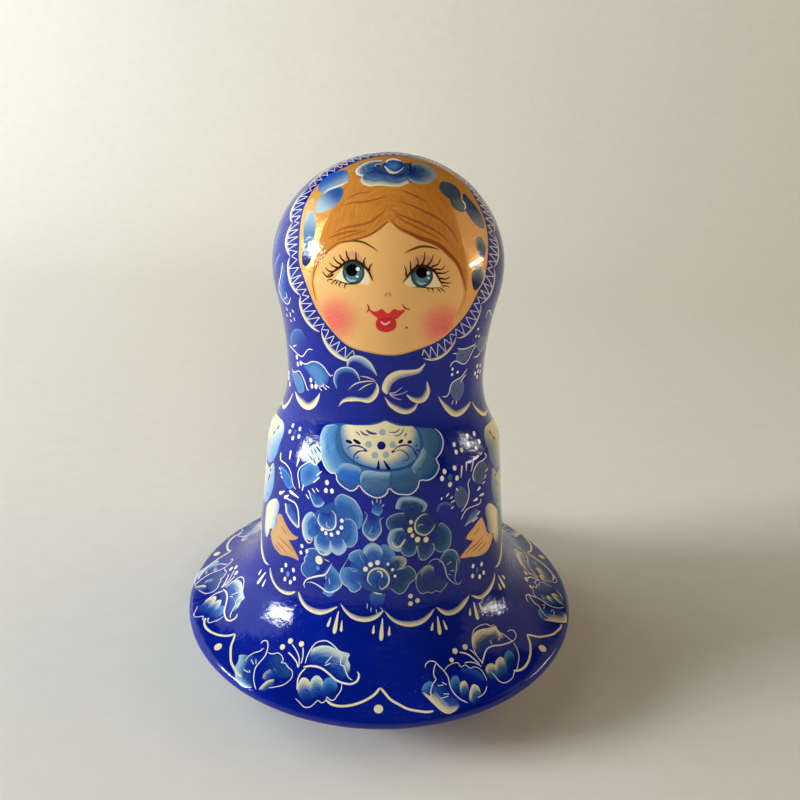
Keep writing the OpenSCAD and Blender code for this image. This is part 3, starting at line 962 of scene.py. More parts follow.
def turn_base():
    """The rounded base with its spigot and the pocket for the weight."""
    ball_z = (SEAM_R ** 2 + SEAM_Z ** 2 - FOOT_R ** 2) / (2 * SEAM_Z)
    ball_r = math.hypot(FOOT_R, ball_z)
    foot = math.degrees(math.atan2(-ball_z, FOOT_R))
    seam = math.degrees(math.atan2(SEAM_Z - ball_z, SEAM_R))
    under = join([(0, POCKET_FLOOR), (POCKET_R, POCKET_FLOOR), (POCKET_R, SPIGOT_TOP), (SPIGOT_R, SPIGOT_TOP),
                  (SPIGOT_R, SEAM_Z)],
                 arc((0, ball_z), ball_r, seam, foot, steps=40), [(0, 0)])
    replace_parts(turned("rounded_base", under, BASE_SIDES, base_coat), "base_bowl")


# The face

OPENING = ("313,190 305,205 301,220 299,245 299,262 303,275 309,292 317,310 331,330 348,346 370,353 "
           "395,355.5 420,349 440,340 460,322 470,308 479,290 485,275 488,255 488,240 485,220 470,190 "
           "455,175 440,166 425,160 408,156.5 390,155.5 374,157 360,160.5 347,166 333,173 322,181")
HAIRLINE_LEFT = ("389,220.5 380,228 370,234.5 360,238 350,240.5 340,242.5 332,247.5 326,253 320,260 "
                 "316,268 313.5,277 313,285 316,300")
HAIRLINE_RIGHT = ("390,221 400,229.5 410,234 420,239 430,242 440,247 450,256 457,264 461,272 464,282 "
                  "465.5,291 462,305 456,318")
HAIR_EDGE_LEFT = ("388,157 372,160 357,166 347,178 338,198 327,220 321,235 317,252 313,268 311.5,277 "
                  "312,285 315,300")
HAIR_EDGE_RIGHT = ("388,157 406,159 425,167 440,183 450,203 458,226 463,244 466.5,262 467.5,280 464.5,300 "
                   "457,318")
CHEEKS = ((335, 319, 32), (443, 325, 31))      # middles and radii of the blush
BLUSH_SHARE = 0.82


def cheek_blush(pixels):
    """How much blush the cheeks take, strongest at their middles."""
    blush = np.zeros(pixels.shape[:-1])
    for x, y, radius in CHEEKS:
        away = np.hypot(pixels[..., 0] - x, pixels[..., 1] - y) / radius
        blush = np.maximum(blush, BLUSH_SHARE * (1 - ease(0.15, 1.0, away)))
    return blush


def paint_face():
    """Skin, gold band and hair inside the kerchief's opening."""
    band = Brushwork("gold_band", gold_paint)
    band.blot(OPENING, (393, 256), GOLD, GOLD, OLD_GOLD, WASH,
              rings=[0, 0.012] + list(np.linspace(0.05, 0.96, 17)))
    face = Brushwork("face_skin", skin_paint)
    left, right = spots(HAIRLINE_LEFT), spots(HAIRLINE_RIGHT)
    chin = spots("320,312.5 331,330 348,346 370,353 395,355.5 420,349 440,340 455,327")
    outline = np.vstack([left, chin, right[::-1][:-1]])
    face.blot(outline, (390, 292), BLUSH, BLUSH, SKIN, PETAL, blend=cheek_blush,
              rings=np.linspace(0, 0.97, 26))
    hair = Brushwork("hair", hair_paint)
    hair.band("396,157 " + HAIR_EDGE_LEFT, "393,221 " + HAIRLINE_LEFT, HAIR, ground=HAIR_SHADE, lift=UPPER,
              steps=22, amount=0.8)
    hair.band("382,157 " + HAIR_EDGE_RIGHT, "387,221.5 " + HAIRLINE_RIGHT, HAIR, ground=HAIR_SHADE,
              lift=UPPER + 0.012, steps=22, amount=0.8)
    strands = Brushwork("hair_strands", feature_paint)
    for path, width in (("342,206 352,203 365,202 378,199 388,196", 2.4),
                        ("332,234 345,228 360,225 370,222 380,215 388,207", 2.4),
                        ("327,239 340,234 355,231 362,230", 2.2),
                        ("390,207 396,213 410,219 422,224 434,230 442,236 450,243", 2.6),
                        ("397,201 410,205 425,212 440,220 452,232 460,248", 2.4),
                        ("400,190 415,196 428,203", 2.2), ("346,200 358,194 372,192", 2.0),
                        ("392,213 404,221 418,228 432,235 444,242", 1.8), ("336,241 352,235 368,230", 1.6)):
        strands.ribbon(path, width * 1.4, swell, RUSSET, 0.75, HAIR, FINE_LINE)
    strands.ribbon(HAIRLINE_LEFT, 2.8, tail, RUSSET * 1.3, lift=FINE_LINE)
    strands.ribbon("390,220 400,228.5 410,233 420,238 430,241 440,246 450,255 457,263 461,272 464,282 "
                   "465.5,291", 5.4, swell, RUSSET * 1.2, lift=FINE_LINE)


IRIS_SIZE = 11.2            # pixels of radius
PUPIL_SIZE = 6.2
IRIS_LIFT, SHADE_LIFT, PUPIL_LIFT, ARC_LIFT, LASH_LIFT, GLINT_LIFT = 0.14, 0.16, 0.17, 0.18, 0.2, 0.21


def paint_eye(eye, iris, pupil, glints, shade, arc_path, sclera, lid, lash_line, low_lid, lashes, low_lashes):
    """One eye with its lid, iris, glints and drawn lashes."""
    eye.blot(lid, spots(lid).mean(axis=0), LID, LID, SKIN, WASH + PETAL, blend=0.55, rings=SMALL_RINGS)
    eye.blot(sclera, spots(sclera).mean(axis=0), SCLERA, SCLERA, SCLERA, LINE, rings=SMALL_RINGS)
    eye.dots(iris, IRIS_SIZE, IRIS, IRIS_LIFT, rim=IRIS_DEEP)
    eye.dots(pupil, PUPIL_SIZE, PUPIL, PUPIL_LIFT)
    eye.ribbon(shade, 6.0, swell, IRIS_DEEP, 0.85, IRIS, SHADE_LIFT)
    eye.ribbon(arc_path, 3.0, swell, ICE, 0.85, IRIS, ARC_LIFT)
    for glint, size in glints:
        eye.dots(glint, size, WHITE, GLINT_LIFT)
    eye.ribbon(lash_line, 3.8, swell, LASH, lift=LASH_LIFT)
    eye.ribbon(low_lid, 1.5, swell, LASH, lift=LASH_LIFT)
    eye.strokes(lashes, 2.8, tail, LASH, lift=LASH_LIFT)
    eye.strokes(low_lashes, 1.9, tail, LASH, lift=LASH_LIFT)


def paint_features():
    """Eyes, brows, nose, mouth and the mole."""
    left = Brushwork("eye_left", feature_paint)
    paint_eye(left, "353.5,272.5", "352,270", (("358,269", 1.9), ("357.5,276.5", 1.1)),
              "344,271 347,265.5 353,263 359,265 362.5,270", "346,276 350,280.5 357,280",
              "334,279 340,271 346,264 356,262 364,267 369,275 370,285 360,284 350,284 340,282",
              "343,264 346,254 352,250 359,253 365,262 370,274 364,268 356,262 349,261",
              "326,277 333,272 340,267 347,262 356,261 364,266 369,272 373,282",
              "335,279 345,283 352,284 362,282",
              "334,274 328,277 322,271|334,272 329,271 325,267|339,268 333,266 329,262|"
              "342,265 336,261 333,256|345,262 341,258 339.5,254|350,261 347,256 346,250|"
              "357,262 356,257 356,251|364,266 364,260 366,257|369,271 370,266 372.5,263",
              "333,279 328,280 327,282|337,280 334,281 331,285|338,281 335,285|342,282 340,283 339,287|"
              "347,284 345,285 344.5,289")
    right = Brushwork("eye_right", feature_paint)
    paint_eye(right, "422,276", "422,272", (("428,273", 1.7), ("428.5,278", 1.1)),
              "412.5,275 415.5,269.5 421.5,267 427.5,268.5 431,273", "416,279.5 420,283.5 427,283",
              "404,284 409,277 413,272 421,267 430,269 437,277 441,287 430,288 418,287 410,287",
              "410,266 415,257 423,254 430,256 436,264 432,269 421,266 414,270",
              "402,283 408,276 414,269 421,266 430,268 436,273 440,281 443,286",
              "412,287 420,287 432,288 441,287",
              "406,277 406,271 404,265|411,272 410.5,266 410,260|415,268 418,263 415.5,256|"
              "421,266 424,260 424.5,251|427,266 431,261 433.5,254|431,267 438,264 440.5,258|"
              "434,269 442,269 445.5,265|437,273 445,273 449,270|439,278 446,279 450.5,276|"
              "441,282 447,283 451.5,282.5",
              "442,286 447,286 450,288|440,288 443,290 445,293|437,288 439,290 441,293|432,288 434,293|"
              "427,287 429,292")
    brows = Brushwork("brows_and_nose", feature_paint)
    brows.ribbon("340,243 350,241 362,242 372,247 378.5,252", 2.6, swell, LASH, 0.9, SKIN)
    brows.ribbon("404,253.5 412,249.5 422,246.5 432,247.5 440,250", 3.0, swell, LASH, 0.9, SKIN)
    brows.dashes("384.5,296.5-387,292.5 391,297-389,292", 1.3, swell, RUSSET)
    brows.dots("406.5,327.5", 1.3, RUSSET, LINE)
    mouth = Brushwork("mouth", feature_paint)
    mouth.band("368,308.5 376,311 382,307.5 388,312.5 394,307.5 399,309.5 406,309",
               "368.5,310 375,317 381,320 388,320 396,319.5 401,316 405.5,310.5", LIP, 1.0, LIP, LINE)
    mouth.blot("378,318 375.5,323 377,329 383,332 389,332 395,329 397,323 394,318 386,317", (386, 325),
               LIP, LIP * 0.86, LIP, LINE)
    mouth.ribbon("367,303 369,309 366,313", 2.0, swell, LIP_DEEP)
    mouth.ribbon("402,303 405,308 411,309.5", 2.0, swell, LIP_DEEP)
    mouth.ribbon("380,320.5 385,324 391,320.5", 2.8, swell, LIP_LIGHT, lift=BEAD + 0.03)
    mouth.ribbon("375,316.5 381,319 388,318.5 396,318.5 401,316", 1.2, swell, LIP_DEEP, lift=BEAD)


def fading(start, end):
    """A rule that takes a stroke's paint from full at one pixel to none at another."""
    start, end = np.array(start, float), np.array(end, float)
    along = (end - start) / np.sum((end - start) ** 2)
    return lambda p: 1 - ease(0, 1, (p - start) @ along)


def paint_crown():
    """Rose on the crown and the blue petals down both sides of the gold band."""
    low, high, top = LINE, LINE + 0.04, LINE + 0.08
    rose = Brushwork("crown_rose", petal_paint)
    rose.blot("355,173 356,168 361,163.5 369,162.5 382,164 402,163 412,163 424,165 433,169 437.5,175 "
              "435,181 428,184 418,183 409,183 398,184.5 385,184.5 372,184.5 364,183 361,179 357,177",
              (393, 172), STEEL * 0.6, STEEL * 0.5, NAVY, low)
    for edge, heart, light, body, loaded in (
            ("412,163 424,164 433,169 437.5,175 434,181 428,184.5 418,184 408,181", (406, 172), DOVE,
             STEEL * 0.7, 0.5),
            ("368,173.5 361,177 356,175 355,171 360,165.5 370,161.5 383,160.5", (380, 168), WHITE,
             STEEL * 0.9, 0.3),
            ("362,176 360.5,181 363,185 370,187 379,186 390,187 400,187 410,183",
             "366,174 371,171 377,169 383,171 389,173.5 395,174.5 401,174 406,172", CREAM, STEEL, 0.4)):
        rose.petal(edge, heart, light, body, 0.4, ground=DEEP * 0.6, lift=high, loaded=loaded)
    rose.ribbon("409,164 411,168 409.5,173", 2.2, swell, NAVY, lift=top)
    rose.ribbon("413,165 415,169 413,174", 1.6, swell, NAVY, lift=top)
    rose.blot("383,166 385,162 391,159.6 399,160.5 403,164 403,169 398,172.5 390,173 385,170.5", (393, 167),
              DEEP, SKY * 0.8, DEEP, high + 0.01, loaded=0.9)
    rose.band("384.5,164 386.5,160.2 391,158.6 396,158.8 402,161.6",
              "385.5,164.2 388.5,162.3 392,161.2 396,161.5 401.5,162.3", WHITE, 0.7, DEEP, top)
    rose.band("383.5,166 386,171 390,174 396,174 401,171 404.5,167",
              "384.5,165.5 388.5,168.5 392,170.8 396,171.8 400.5,170 404,167", CREAM, 0.3, AZURE, top)
    rose.ribbon("375.5,168 375.5,165.5 378,164.3 381,165 381,167", 1.5, steady, GOLD, lift=top)
    sides = Brushwork("band_petals", petal_paint)
    for edge, heart, light, body, far, start, end in (
            ("347,171 338,171 328,176 319,184 318,190 324,195 336,187.5 348,182", (345, 177),
             AZURE * 1.2, AZURE * 0.9, DOVE, (330, 178), (337, 190)),
            ("343,188 333,189 322,195 317,201 316,213 327,211 338,204 343,196", (340, 190),
             STEEL, AZURE * 0.8, DOVE * 1.3, (335, 193), (320, 211)),
            ("314,212 309,212 305,221 303.5,236 306,250 311,248 315,234 316,221", (312, 214),
             DOVE * 1.3, DOVE, STEEL * 1.2, (311, 214), (309, 236)),
            ("303,265 302,256 304,249 308,247 311.5,254 310,262 306,266.5", (307, 255),
             STEEL, AZURE * 0.6, NAVY * 1.5, (307, 250), (306, 262)),
            ("441,182 450,183 459,190 461,198 455,201 446,197 439,189", (444, 187),
             STEEL * 0.6, DOVE * 0.22, STEEL * 0.45, (444, 186), (458, 199)),
            ("450,198 458,197 466,203 467,211 460,212 452,206", (455, 201),
             STEEL * 0.45, DOVE * 0.22, DOVE * 0.3, (453, 199), (464, 209)),
            ("463,193 470,200 478,210 484,222 484,229 477,226 468,215 463,203", (473, 208),
             AZURE * 0.5, AZURE * 0.35, DOVE * 0.5, (470, 206), (483, 226)),
            ("476,238 480,236 484.5,243 485.5,252 483,259 478,252", (480, 246),
             DOVE * 0.7, DOVE * 0.4, AZURE * 0.4, (479, 241), (483, 254)),
            ("472,284 472,274 476,266 481,266 483.5,274 481,284 475,291", (478, 276),
             DOVE * 0.8, DOVE * 0.5, NAVY * 1.4, (480, 269), (475, 284))):
        sides.blot(edge, heart, light, body, far, low, loaded=0.8, blend=fading(start, end))
    sides.ribbon("323,195 329,190 337,186.8 349,182", 2.8, swell, WHITE, 0.85, SKY, top)
    sides.ribbon("461,199 465,206 464,211", 1.8, swell, CREAM, lift=top)
    sides.ribbon("484,268 484.5,277 481,285 477,291", 1.2, swell, CREAM, 0.7, GOLD, top)


LACE_SCALLOPS = 15
LACE_POINT = 3.6            # from the opening out to the points between the scallops
LACE_ARCH = 6.6             # from the opening out to the tops of the scallops
LACE_ZIGS = 11              # turns of the thread in each scallop


def paint_lace():
    """Lace round the face, free at the chin: cream scallops with a thin white zigzag in each."""
    lace = Brushwork("lace_scallops", line_paint, chart=settle)
    thread = Brushwork("lace_thread", line_paint, chart=settle)
    free_end = np.vstack([np.roll(spots(OPENING), -12, axis=0)[:-2], [(357, 350)]])
    steps = LACE_ZIGS - 1
    edge = flow(place(reach(flow(free_end, 120)), 0)[0], LACE_SCALLOPS * steps + 1)
    out = np.cross(np.gradient(edge, axis=0), place(settle(edge), 0)[1])
    out /= np.linalg.norm(out, axis=1)[:, None]
    arch = LACE_POINT + (LACE_ARCH - LACE_POINT) * np.sin(np.linspace(0, math.pi, LACE_ZIGS)) ** 0.7
    for first in range(0, len(edge) - 1, steps):
        low = edge[first:first + LACE_ZIGS]
        aim = out[first:first + LACE_ZIGS]
        high = arch * (0.8 if first in (0, len(edge) - LACE_ZIGS) else 1.0)
        thick = 1.6 if first > len(edge) / 2 else 1.0
        lace.crescent(low + aim * high[:, None], low.mean(axis=0), thick, CREAM, 0.3, lift=UPPER)
        zigzag = low + aim * np.where(np.arange(LACE_ZIGS) % 2 == 0, high - 0.7, 0.5)[:, None]
        for a, b in zip(zigzag, zigzag[1:]):
            thread.ribbon(np.array([a, (a + b) / 2, b]), 0.95, steady, WHITE, 0.75, lift=WASH + PETAL)


def paint_kerchief():
    """Sprigs on both sides of the kerchief."""
    sprigs = Brushwork("kerchief_sprigs", petal_paint)
    for path, width in (("281,228 277,240 276,250", 4.5), ("280,253 276,263 275,272", 4.5)):
        sprigs.ribbon(path, width, swell, SKY, 0.9, lift=PETAL)
    sprigs.petal("284,264 282,276 280,289 283,299 288,302", "286,268 288,276 288,286 288,293 289,298", SKY,
                 AZURE, 0.1)
    sprigs.blot("293,330 300,329 304,335 308,342 300,350 291,345", (300, 340), SKY * 0.8, AZURE,
                blend=fading((290, 331), (306, 346)))
    sprigs.blot("487,335 484,345 480,353 477,346 480,338", (482, 344), SLATE, SLATE * 0.7)
    lines = Brushwork("kerchief_lines", line_paint)
    lines.strokes("283,262 281,275 279,288 283,300 288,304 291,297|286,292 287,297 284,299", 1.0)
    lines.dashes("286,307-288,311 292,309-294,313 286,313-288,317 290,312-291,317 294,317-295,321 "
                 "290,319-292,322", 2.2, drop)
    lines.ribbon("289,344 293,349 302,356.5 306,352 309,349 313,350", 1.0)
    lines.dashes("293,347-297,344.5", 1.2)
    lines.ribbon("473,357 476,357 480,353", 1.0)
    lines.ribbon("485,318 489,310 492,318", 1.4, swell)
    lines.ribbon("487,335 484,345 480,353", 1.2, swell)
    lines.dots("478,329 476,336 479,336", 1.4)


def paint_neck():
    """The flowers and buds around the neck, where the kerchief is tied."""
    buds = Brushwork("neck_buds", petal_paint)
    buds.blot("303,365 312,361 320,364 326,371 329,378 326,385 319,387 313,380 309,374 304,367", (317, 374),
              AZURE, SKY * 0.85, blend=0.95, loaded=0.6)
    buds.petal("326,384 322,387 317,386 314,381", (319, 376), CREAM, SKY, 0.4, ground=SKY * 0.85)
    buds.blot("292,371 298,373 302,379 304,386 304,392 299,393 296,386 293,378", (299, 383), SKY * 0.9,
              SKY * 0.7)
    buds.blot("459,350 466,348 472,346 470,353 466,360 462,363 457,361 456,356", (463, 355), SLATE,
              SLATE * 0.8, fade=0.8)
    buds.blot("461,378 464,384 464,390 461,398 456,402 452,396 450,390 452,384 456,381", (457, 390), SLATE,
              SLATE * 0.8, fade=0.8)
    lines = Brushwork("neck_lines", line_paint)
    lines.strokes("301,362 306,364 312,361.5 318,362.5 324,367 328,373 331,376 333,374.5|"
                  "292,368 294,372 299,371 303,377 306,385 308,390 309.5,390|"
                  "457,348.5 463,349 470,347 475,344|450,367 452,363 456,361 460,363 464,364 468,360 "
                  "471,354 474,348 477,345|442,396.5 446,396.5 449,393 450,388 452,383 456,380 461,377 "
                  "465,372 467.5,368|460,383 463,378 466,374", 1.3, steady, WHITE, 0.9)
    lines.dashes("319,387-322,391 323,386-327,390 325,385-330,388 472,347-476,343 453,353.5-457,353.5 "
                 "453,400-452,404.5 456.5,400-456,404.5", 1.1)
    lines.dots("297,357 298,364 301,363 311,380 312,386 316,386.5 289,373 289,378 290,384", 1.9, tall=1.4)
    lines.dots("452.5,369 452,374.5 457.5,372", 1.3, tall=1.3)
    lines.dots("477,366 480,365.5 475,373.5 478,371 480,371.5 477,377", 1.7, tall=1.4)
    flowers = Brushwork("neck_flowers", petal_paint)
    upper = "347,367 348,360 353,356.5 361.5,357 370,363 375,371 377,376"
    lower = "337,389 334,380 336.5,371 345,367.3 353,369 358,374.5 360,381"
    flowers.crescent(upper, (360, 372), 8, ICE, 0.0, hold=0)
    flowers.crescent(lower, (348, 382), 6, SKY, 0.0, hold=0)
    for path, width in ((upper, 2.4), (lower, 1.5), ("348,390 355,384 363,381.7 373,381.3 377,383.5", 1.5),
                        ("360,376 368,377.5 376,381", 1.2), ("358,391 365,386 373,383", 1.2)):
        flowers.ribbon(path, width, swell, CREAM, 0.8, SKY)
    flowers.band("336.5,411 340,405 345,402 352,401.5 360,401.5 369,403 375,399.5 379,392 378.5,386 "
                 "376.5,383", "338,409 341,401 346,397.5 352,396.5 360,397.5 367,397.5 371.5,394.5 375,389 "
                              "376,385.5 376,383.5", CREAM, 0.3)
    flowers.band("425.5,362.5 418.5,368.5 408,369.8 397,370.5 388,375 383,382 381.8,390 386.5,394.5",
                 "425,365 420,373 408.5,376.5 398.5,379.5 392.5,384.5 389.5,391 388.5,393 388,394.5", CREAM,
                 0.25)
    flowers.strokes("389,393 395,392.5 400,389 402.5,387|389,394 395,395 402,393.5 408,391|"
                    "390,395 395,398 402,400", 1.2, tail, WHITE, 0.8)
    flowers.crescent("406,394.5 411,400.5 419,403.5 426,400.5 430,392 429,386 427,381", (415, 388), 7,
                     CREAM, 0.0)
    flowers.crescent("384.5,397 389,406 399,413 408,414 415,410 418.5,402", (401, 398), 7, CREAM, 0.0)


def scallops(work, start, end, count, sag, thick):
    """A row of cream scallops that hang below the line from one place of a chart to another."""
    share = np.linspace(0, 1, 9)[:, None]
    hang = np.array([0, sag]) * np.sin(math.pi * share) ** 0.75
    points = np.linspace(start, end, count + 1)
    for a, b in zip(points, points[1:]):
        work.crescent(a + (b - a) * share + hang, (a + b) / 2 - np.array([0, 4 * sag]), thick, CREAM, 0.1)


KERCHIEF_SIDE = (83, 69)    # where the edge turns to the back: degrees, millimetres below the crown
KERCHIEF_BACK = (277, 69)


def paint_kerchief_edge():
    """Scallops along the kerchief's edge, which falls at the sides and goes on round the back."""
    edge = Brushwork("kerchief_edge", line_paint)
    edge.crescent("295,391 297,400 303,408 309,410 315,407 319,399 320,393", (307, 396), 8, CREAM, 0.1)
    edge.crescent("438,396 441,403 446,411 452,416 457,417 463,414 468,408 471,401", (455, 402), 7, CREAM,
                  0.1)
    for name, side, front in (("left", -1, (64.5, 63.3)), ("right", 1, (57.5, 63.3))):
        edge = Brushwork("kerchief_edge_" + name, line_paint, chart=girth(side))
        scallops(edge, front, KERCHIEF_SIDE, 1, 3.6, 1.7)
    edge = Brushwork("kerchief_edge_back", line_paint, chart=girth(1))
    scallops(edge, KERCHIEF_SIDE, KERCHIEF_BACK, 8, 4.2, 1.8)


# The bodice

BIB = ("340,425 340,442 344,453 354,462 366,467 380,470 397,469.5 409,466 419,457 422,447 421,436 416,427 "
       "400,425 392,422.5 385.5,420 379,422.5 370,424.3 355,424.5")
BIB_EDGE = ("320,444 322,459 326,468 331,473 336,473.5 337,480 342,486 346,488.5 351,491 356,489 "
            "359.5,484.5 362,489 366,493 372,496.5 377,498 383,496.5 387,493 389,487.5 393,491.5 398,494 "
            "404,494.5 410,494.5 415,491 418,487 420,480 426,480.5 431,479 435,476 438,471 439,465 436,459 "
            "440,454 442.5,448 443,440 440,433 434,428")
BIB_LOBES = (
    ("336,424 325,426 320,436 320,447 322,459 326,468 331,473 337,474",
     "340,425 340,431 340,437 341,443 342,448 344,453 348,458 352,461", ICE, SKY * 0.95),
    ("416,427 420,432 422,438 423,444 422,450 420,456",
     "433,428 439,432 442.5,438 442.5,446 440,453 436,458", STEEL * 1.2, STEEL * 0.9),
    ("423,446 421,452 418,458 414,463 411,467 415,474",
     "437,459 438.5,465 438,470 434,476 428,479.5 421,480", ICE * 0.8, STEEL * 0.9),
    ("390,471 398,470.5 406,468 412,467 418,469 421,475", "390,488 397,493 404,494 410,494 415,491 419,485",
     STEEL * 1.3, STEEL * 0.8),
    ("337,474 338,467 342,463 347,462 353,464 359,466.5 362,470",
     "338,480 342,485.5 346,488 351,490.5 355,489 358,486 360,483", ICE * 0.75, AZURE * 1.35),
    ("360,483 360.5,475 363,470.5 369,469.5 378,471 386,471.5 392,472",
     "361,487 365,492 371,496 377,497.5 383,496 387,492 389,488", ICE * 0.85, STEEL))


def bib_cream(pixels):
    """Share of cream on the bib, which turns blue towards its lower rim and its right side."""
    x, y = pixels[..., 0], pixels[..., 1]
    away = np.hypot((x - 380) / 41, (y - 424) / 46)
    return (1 - 0.95 * ease(0.72, 1.0, away)) * (1 - 0.6 * ease(412, 422, x))


def paint_bib():
    """The bib: a cream half round with small flowers, in a blue scalloped ring."""
    ring = Brushwork("bib_ring", petal_paint)
    outline = BIB_EDGE + " 425,427.5 412,426 395,422.5 386,419.5 378,421.5 366,424 350,424 338,423 325,426"
    # The ring's paint thins from left to right, so the darker ground shows: painted shade on the doll's
    # shaded right side.
    ring.blot(outline, (379, 440), AZURE, STEEL * 0.9, AZURE * 0.7, PETAL, loaded=0.3,
              blend=lambda pixels: 0.9 - 0.4 * ease(360, 445, pixels[..., 0]))
    for lobe, heart, light, body in BIB_LOBES:
        ring.petal(lobe, heart, light, body, 0.5, 0, AZURE * 0.8, UPPER - 0.01, loaded=0.4, soft=0.06)
    ring.ribbon("422.5,448 419.5,457 412.5,466", 3.0, swell, ICE, 0.7, STEEL, UPPER + 0.02)
    bib = Brushwork("bib", cuff_paint)
    bib.blot(BIB, (380, 441), CREAM, CREAM, SKY * 0.8, UPPER, blend=bib_cream, rings=np.linspace(0, 0.95, 14))
    work = Brushwork("bib_flowers", feature_paint)
    work.dots("381.3,445.5", 4.4, INK, BEAD)
    work.dots("382.5,432.3 368.6,444.3 374.8,455.2 386,454.8 392.8,444.8", 3.5, DOVE, BEAD)
    for width, paths in (
            (1.8, "355,430.8 361,435.8|388,432 396,432 401,427.6|392.5,436 400,434.5 404.4,427.6|"
                  "403.8,437 407.5,432.6|356,459.5 359.4,455.8|414,446 418.5,445.5|"
                  "392.5,452.6 400,450 406,453 408.8,457.6 406,460.8 401,460"),
            (2.6, "359.4,430 363.8,433.9 370,435.8|346,450.8 350,446.4 357.5,445.8 365,448.9 368,451|"
             "353.8,462 354.4,455.8 358.8,451.4 366,450.8|392.5,452 397.5,447 406,445 412.5,448 416,453"),
            (3.8, "365,429.5 371,433 378,433.8|363,449.5 368,451.5|391,453 395,450|"
                  "413,449 415.5,453 418,458|415.5,449.5 420.5,451")):
        work.strokes(paths, width, swell, DEEP * 0.8, 0.95, CREAM, LINE)
    work.dashes("345,440-353,443.3 352.5,439-361.5,444.5 398,443.3-403.5,439.5 406.5,442.6-412.5,441.4",
                5.0, swell, NAVY)
    work.dashes("378.8,459.5-378,471 383,459.5-390,470.5", 5.6, drop, NAVY)
    piping = Brushwork("bib_piping", line_paint)
    piping.ribbon(BIB_EDGE, 1.5, steady, WHITE, 0.9)
    piping.ribbon("341,446 345,454 354,462 366,467 380,470 397,469.5 408,466 417,459", 1.6, swell, DEEP,
                  0.8, AZURE, LINE)


def dot_flower(work, centre, petals, size, heart):
    """A small flower of dots round a blue one."""
    work.dots(centre, size * 1.2, heart, BEAD * 0.8, tall=1.3)
    work.dots(petals, size, WHITE, BEAD, tall=1.25)


def paint_bodice():
    """Sprigs, dots and leaves on both sides of the bib."""
    leaves = Brushwork("bodice_leaves", petal_paint)
    leaves.blot("280,466 286,470 291,479 293,487 289,489 284,482 281,475", (287, 479), SKY, AZURE * 1.2)
    leaves.blot("301,469 307,464 314,462 318,466 320,473 316,481 309,485 303,487", (309, 474), SKY,
                AZURE * 1.2, loaded=0.9)
    leaves.petal("325,503 321,507 315,507 311,500 309,494", (318, 493), ICE, AZURE, 0.5)
    leaves.petal("285,503 286,512 290,520 296,527 299,529", (294, 505), CREAM, AZURE, 0.2, loaded=0.25)
    # The leaves on the right are a darkened slate: partly their own grey-blue, partly painted shade for the
    # shaded right side.
    leaves.blot("484,461 487,468 485,477 480,484 475,481 474,472 478,464", (480, 473), SLATE * 0.7,
                SLATE * 0.5, fade=0.8)
    leaves.blot("460,486 466,490 468,498 463,507 459,508 455,500 455,492", (461, 497), SLATE * 0.8,
                SLATE * 0.6, fade=0.8)
    leaves.petal("480,511 477,516 471,522 464,527", (474, 507), ICE, SLATE * 0.8, 0.4)
    leaves.petal("436,512 439,504 447,502 453,505", (446, 517), SLATE * 0.8, DEEP, 0.3)
    lines = Brushwork("bodice_lines", line_paint)
    lines.ribbon("281,452 281,460 286,464 290,470 292,478 293,484 296,490", 2.2, tail)
    for path, width in (("300,489 299,482 298,474 300,468 305,464 311,461", 1.4),
                        ("286,498 290,500 295,503 298,510 299,528", 1.9),
                        ("484,452 486,456 483,460 478,463 474,470 473,478 475,482", 1.2),
                        ("470,478 468,484 469,492 468,500 464,508 461,512", 1.1),
                        ("481,498 480,503 474,506 467,509 463,515 461,520", 1.0)):
        lines.ribbon(path, width)
    lines.dashes("279,467-281,470 280,472-282,474 281,476-283,478 322,471-316,476 320,477-313,483 "
                 "304,484-302,491 306,494-309,499 308,490-311,495 312,488-315,493 316,488-319,492 "
                 "285,503-287,508 287,508-286,513", 1.5)
    lines.dashes("488,468-485,472 486,474-484,479 485,481-482,484 456,488-458,491 449,493-446,497 "
                 "453,496-450,499 455,500-451,503 454,506-451,509 442,497-441,500 480,511-477,515 "
                 "478,517-472,522", 1.5)
    lines.dashes("291,450-289.5,460 299,458-296.5,467", 4.2, comma)
    lines.dashes("462,465-461,478 466.5,461-466,471 473.5,460-471,472", 3.2, comma)
    lines.dashes("285,491-279,493.5 299,498-289,490.5 289,495-284,498", 6.0, drop)
    lines.dashes("477,491-480.5,486.5 479,496-484,493.5 473,501-478,498.5", 5.4, drop)
    lines.dots("327,482.5 326,490.5 332,491", 2.2, tall=1.3)
    lines.dots("454,444.5 456,452 461.5,450", 2.0, tall=1.3)
    dot_flower(lines, "295,432", "293,425.5 300,429 290,431.5 299,436.5 293,438", 2.0, AZURE)
    dot_flower(lines, "472,441", "467,436 474,433.5 479,441.5 468,444 476,448", 2.2, TEAL)
    dot_flower(lines, "450,477", "454.5,468 444.5,471.5 442,478.5 457,478 450,484.5", 2.3, TEAL)


SLEEVE_PUFFS = ("66.5,72.4 62.6,73.8 61,76 60.3,78.9 64,82.3 69,84.9 77,86 87,86.4 96,85.4 102,82.5 "
                "102.5,79.2 98,76.6 88,74.4 76,72.8",
                "63.6,83.5 61.9,86.8 62.5,90.9 67.4,95.9 75.3,99.7 83,100.2 92,98 98,93.5 99.5,89 95,86.8 "
                "87,87.7 77,87.4 69,86.2",
                "62.8,94.6 57.5,92.8 54.8,93.7 55.1,95.9 56.4,97.9 56.6,100.3 59.1,102.9 62.5,103.9 "
                "63.7,106.1 66.9,108.3 69.6,107 70.6,103 69.8,99.2 67,96.9")
HAND_LEFT = ("277,514 281,514 284,520 288,528 294,535 298.5,537.5 294,540 289,539.5 292,546 296,553 "
             "299,560.5 293,558 287,556 281,555 277,551 273,545 271,537 271,531 275,526 277,520")
HAND_RIGHT = ("481.5,517 478,521 473,528 468,534 466,539 472,537 473,540 469,546 464,552 460,558 470,557 "
              "479,556 485,553 489,548 492,540 493,534 488,533 486,528 484,522")


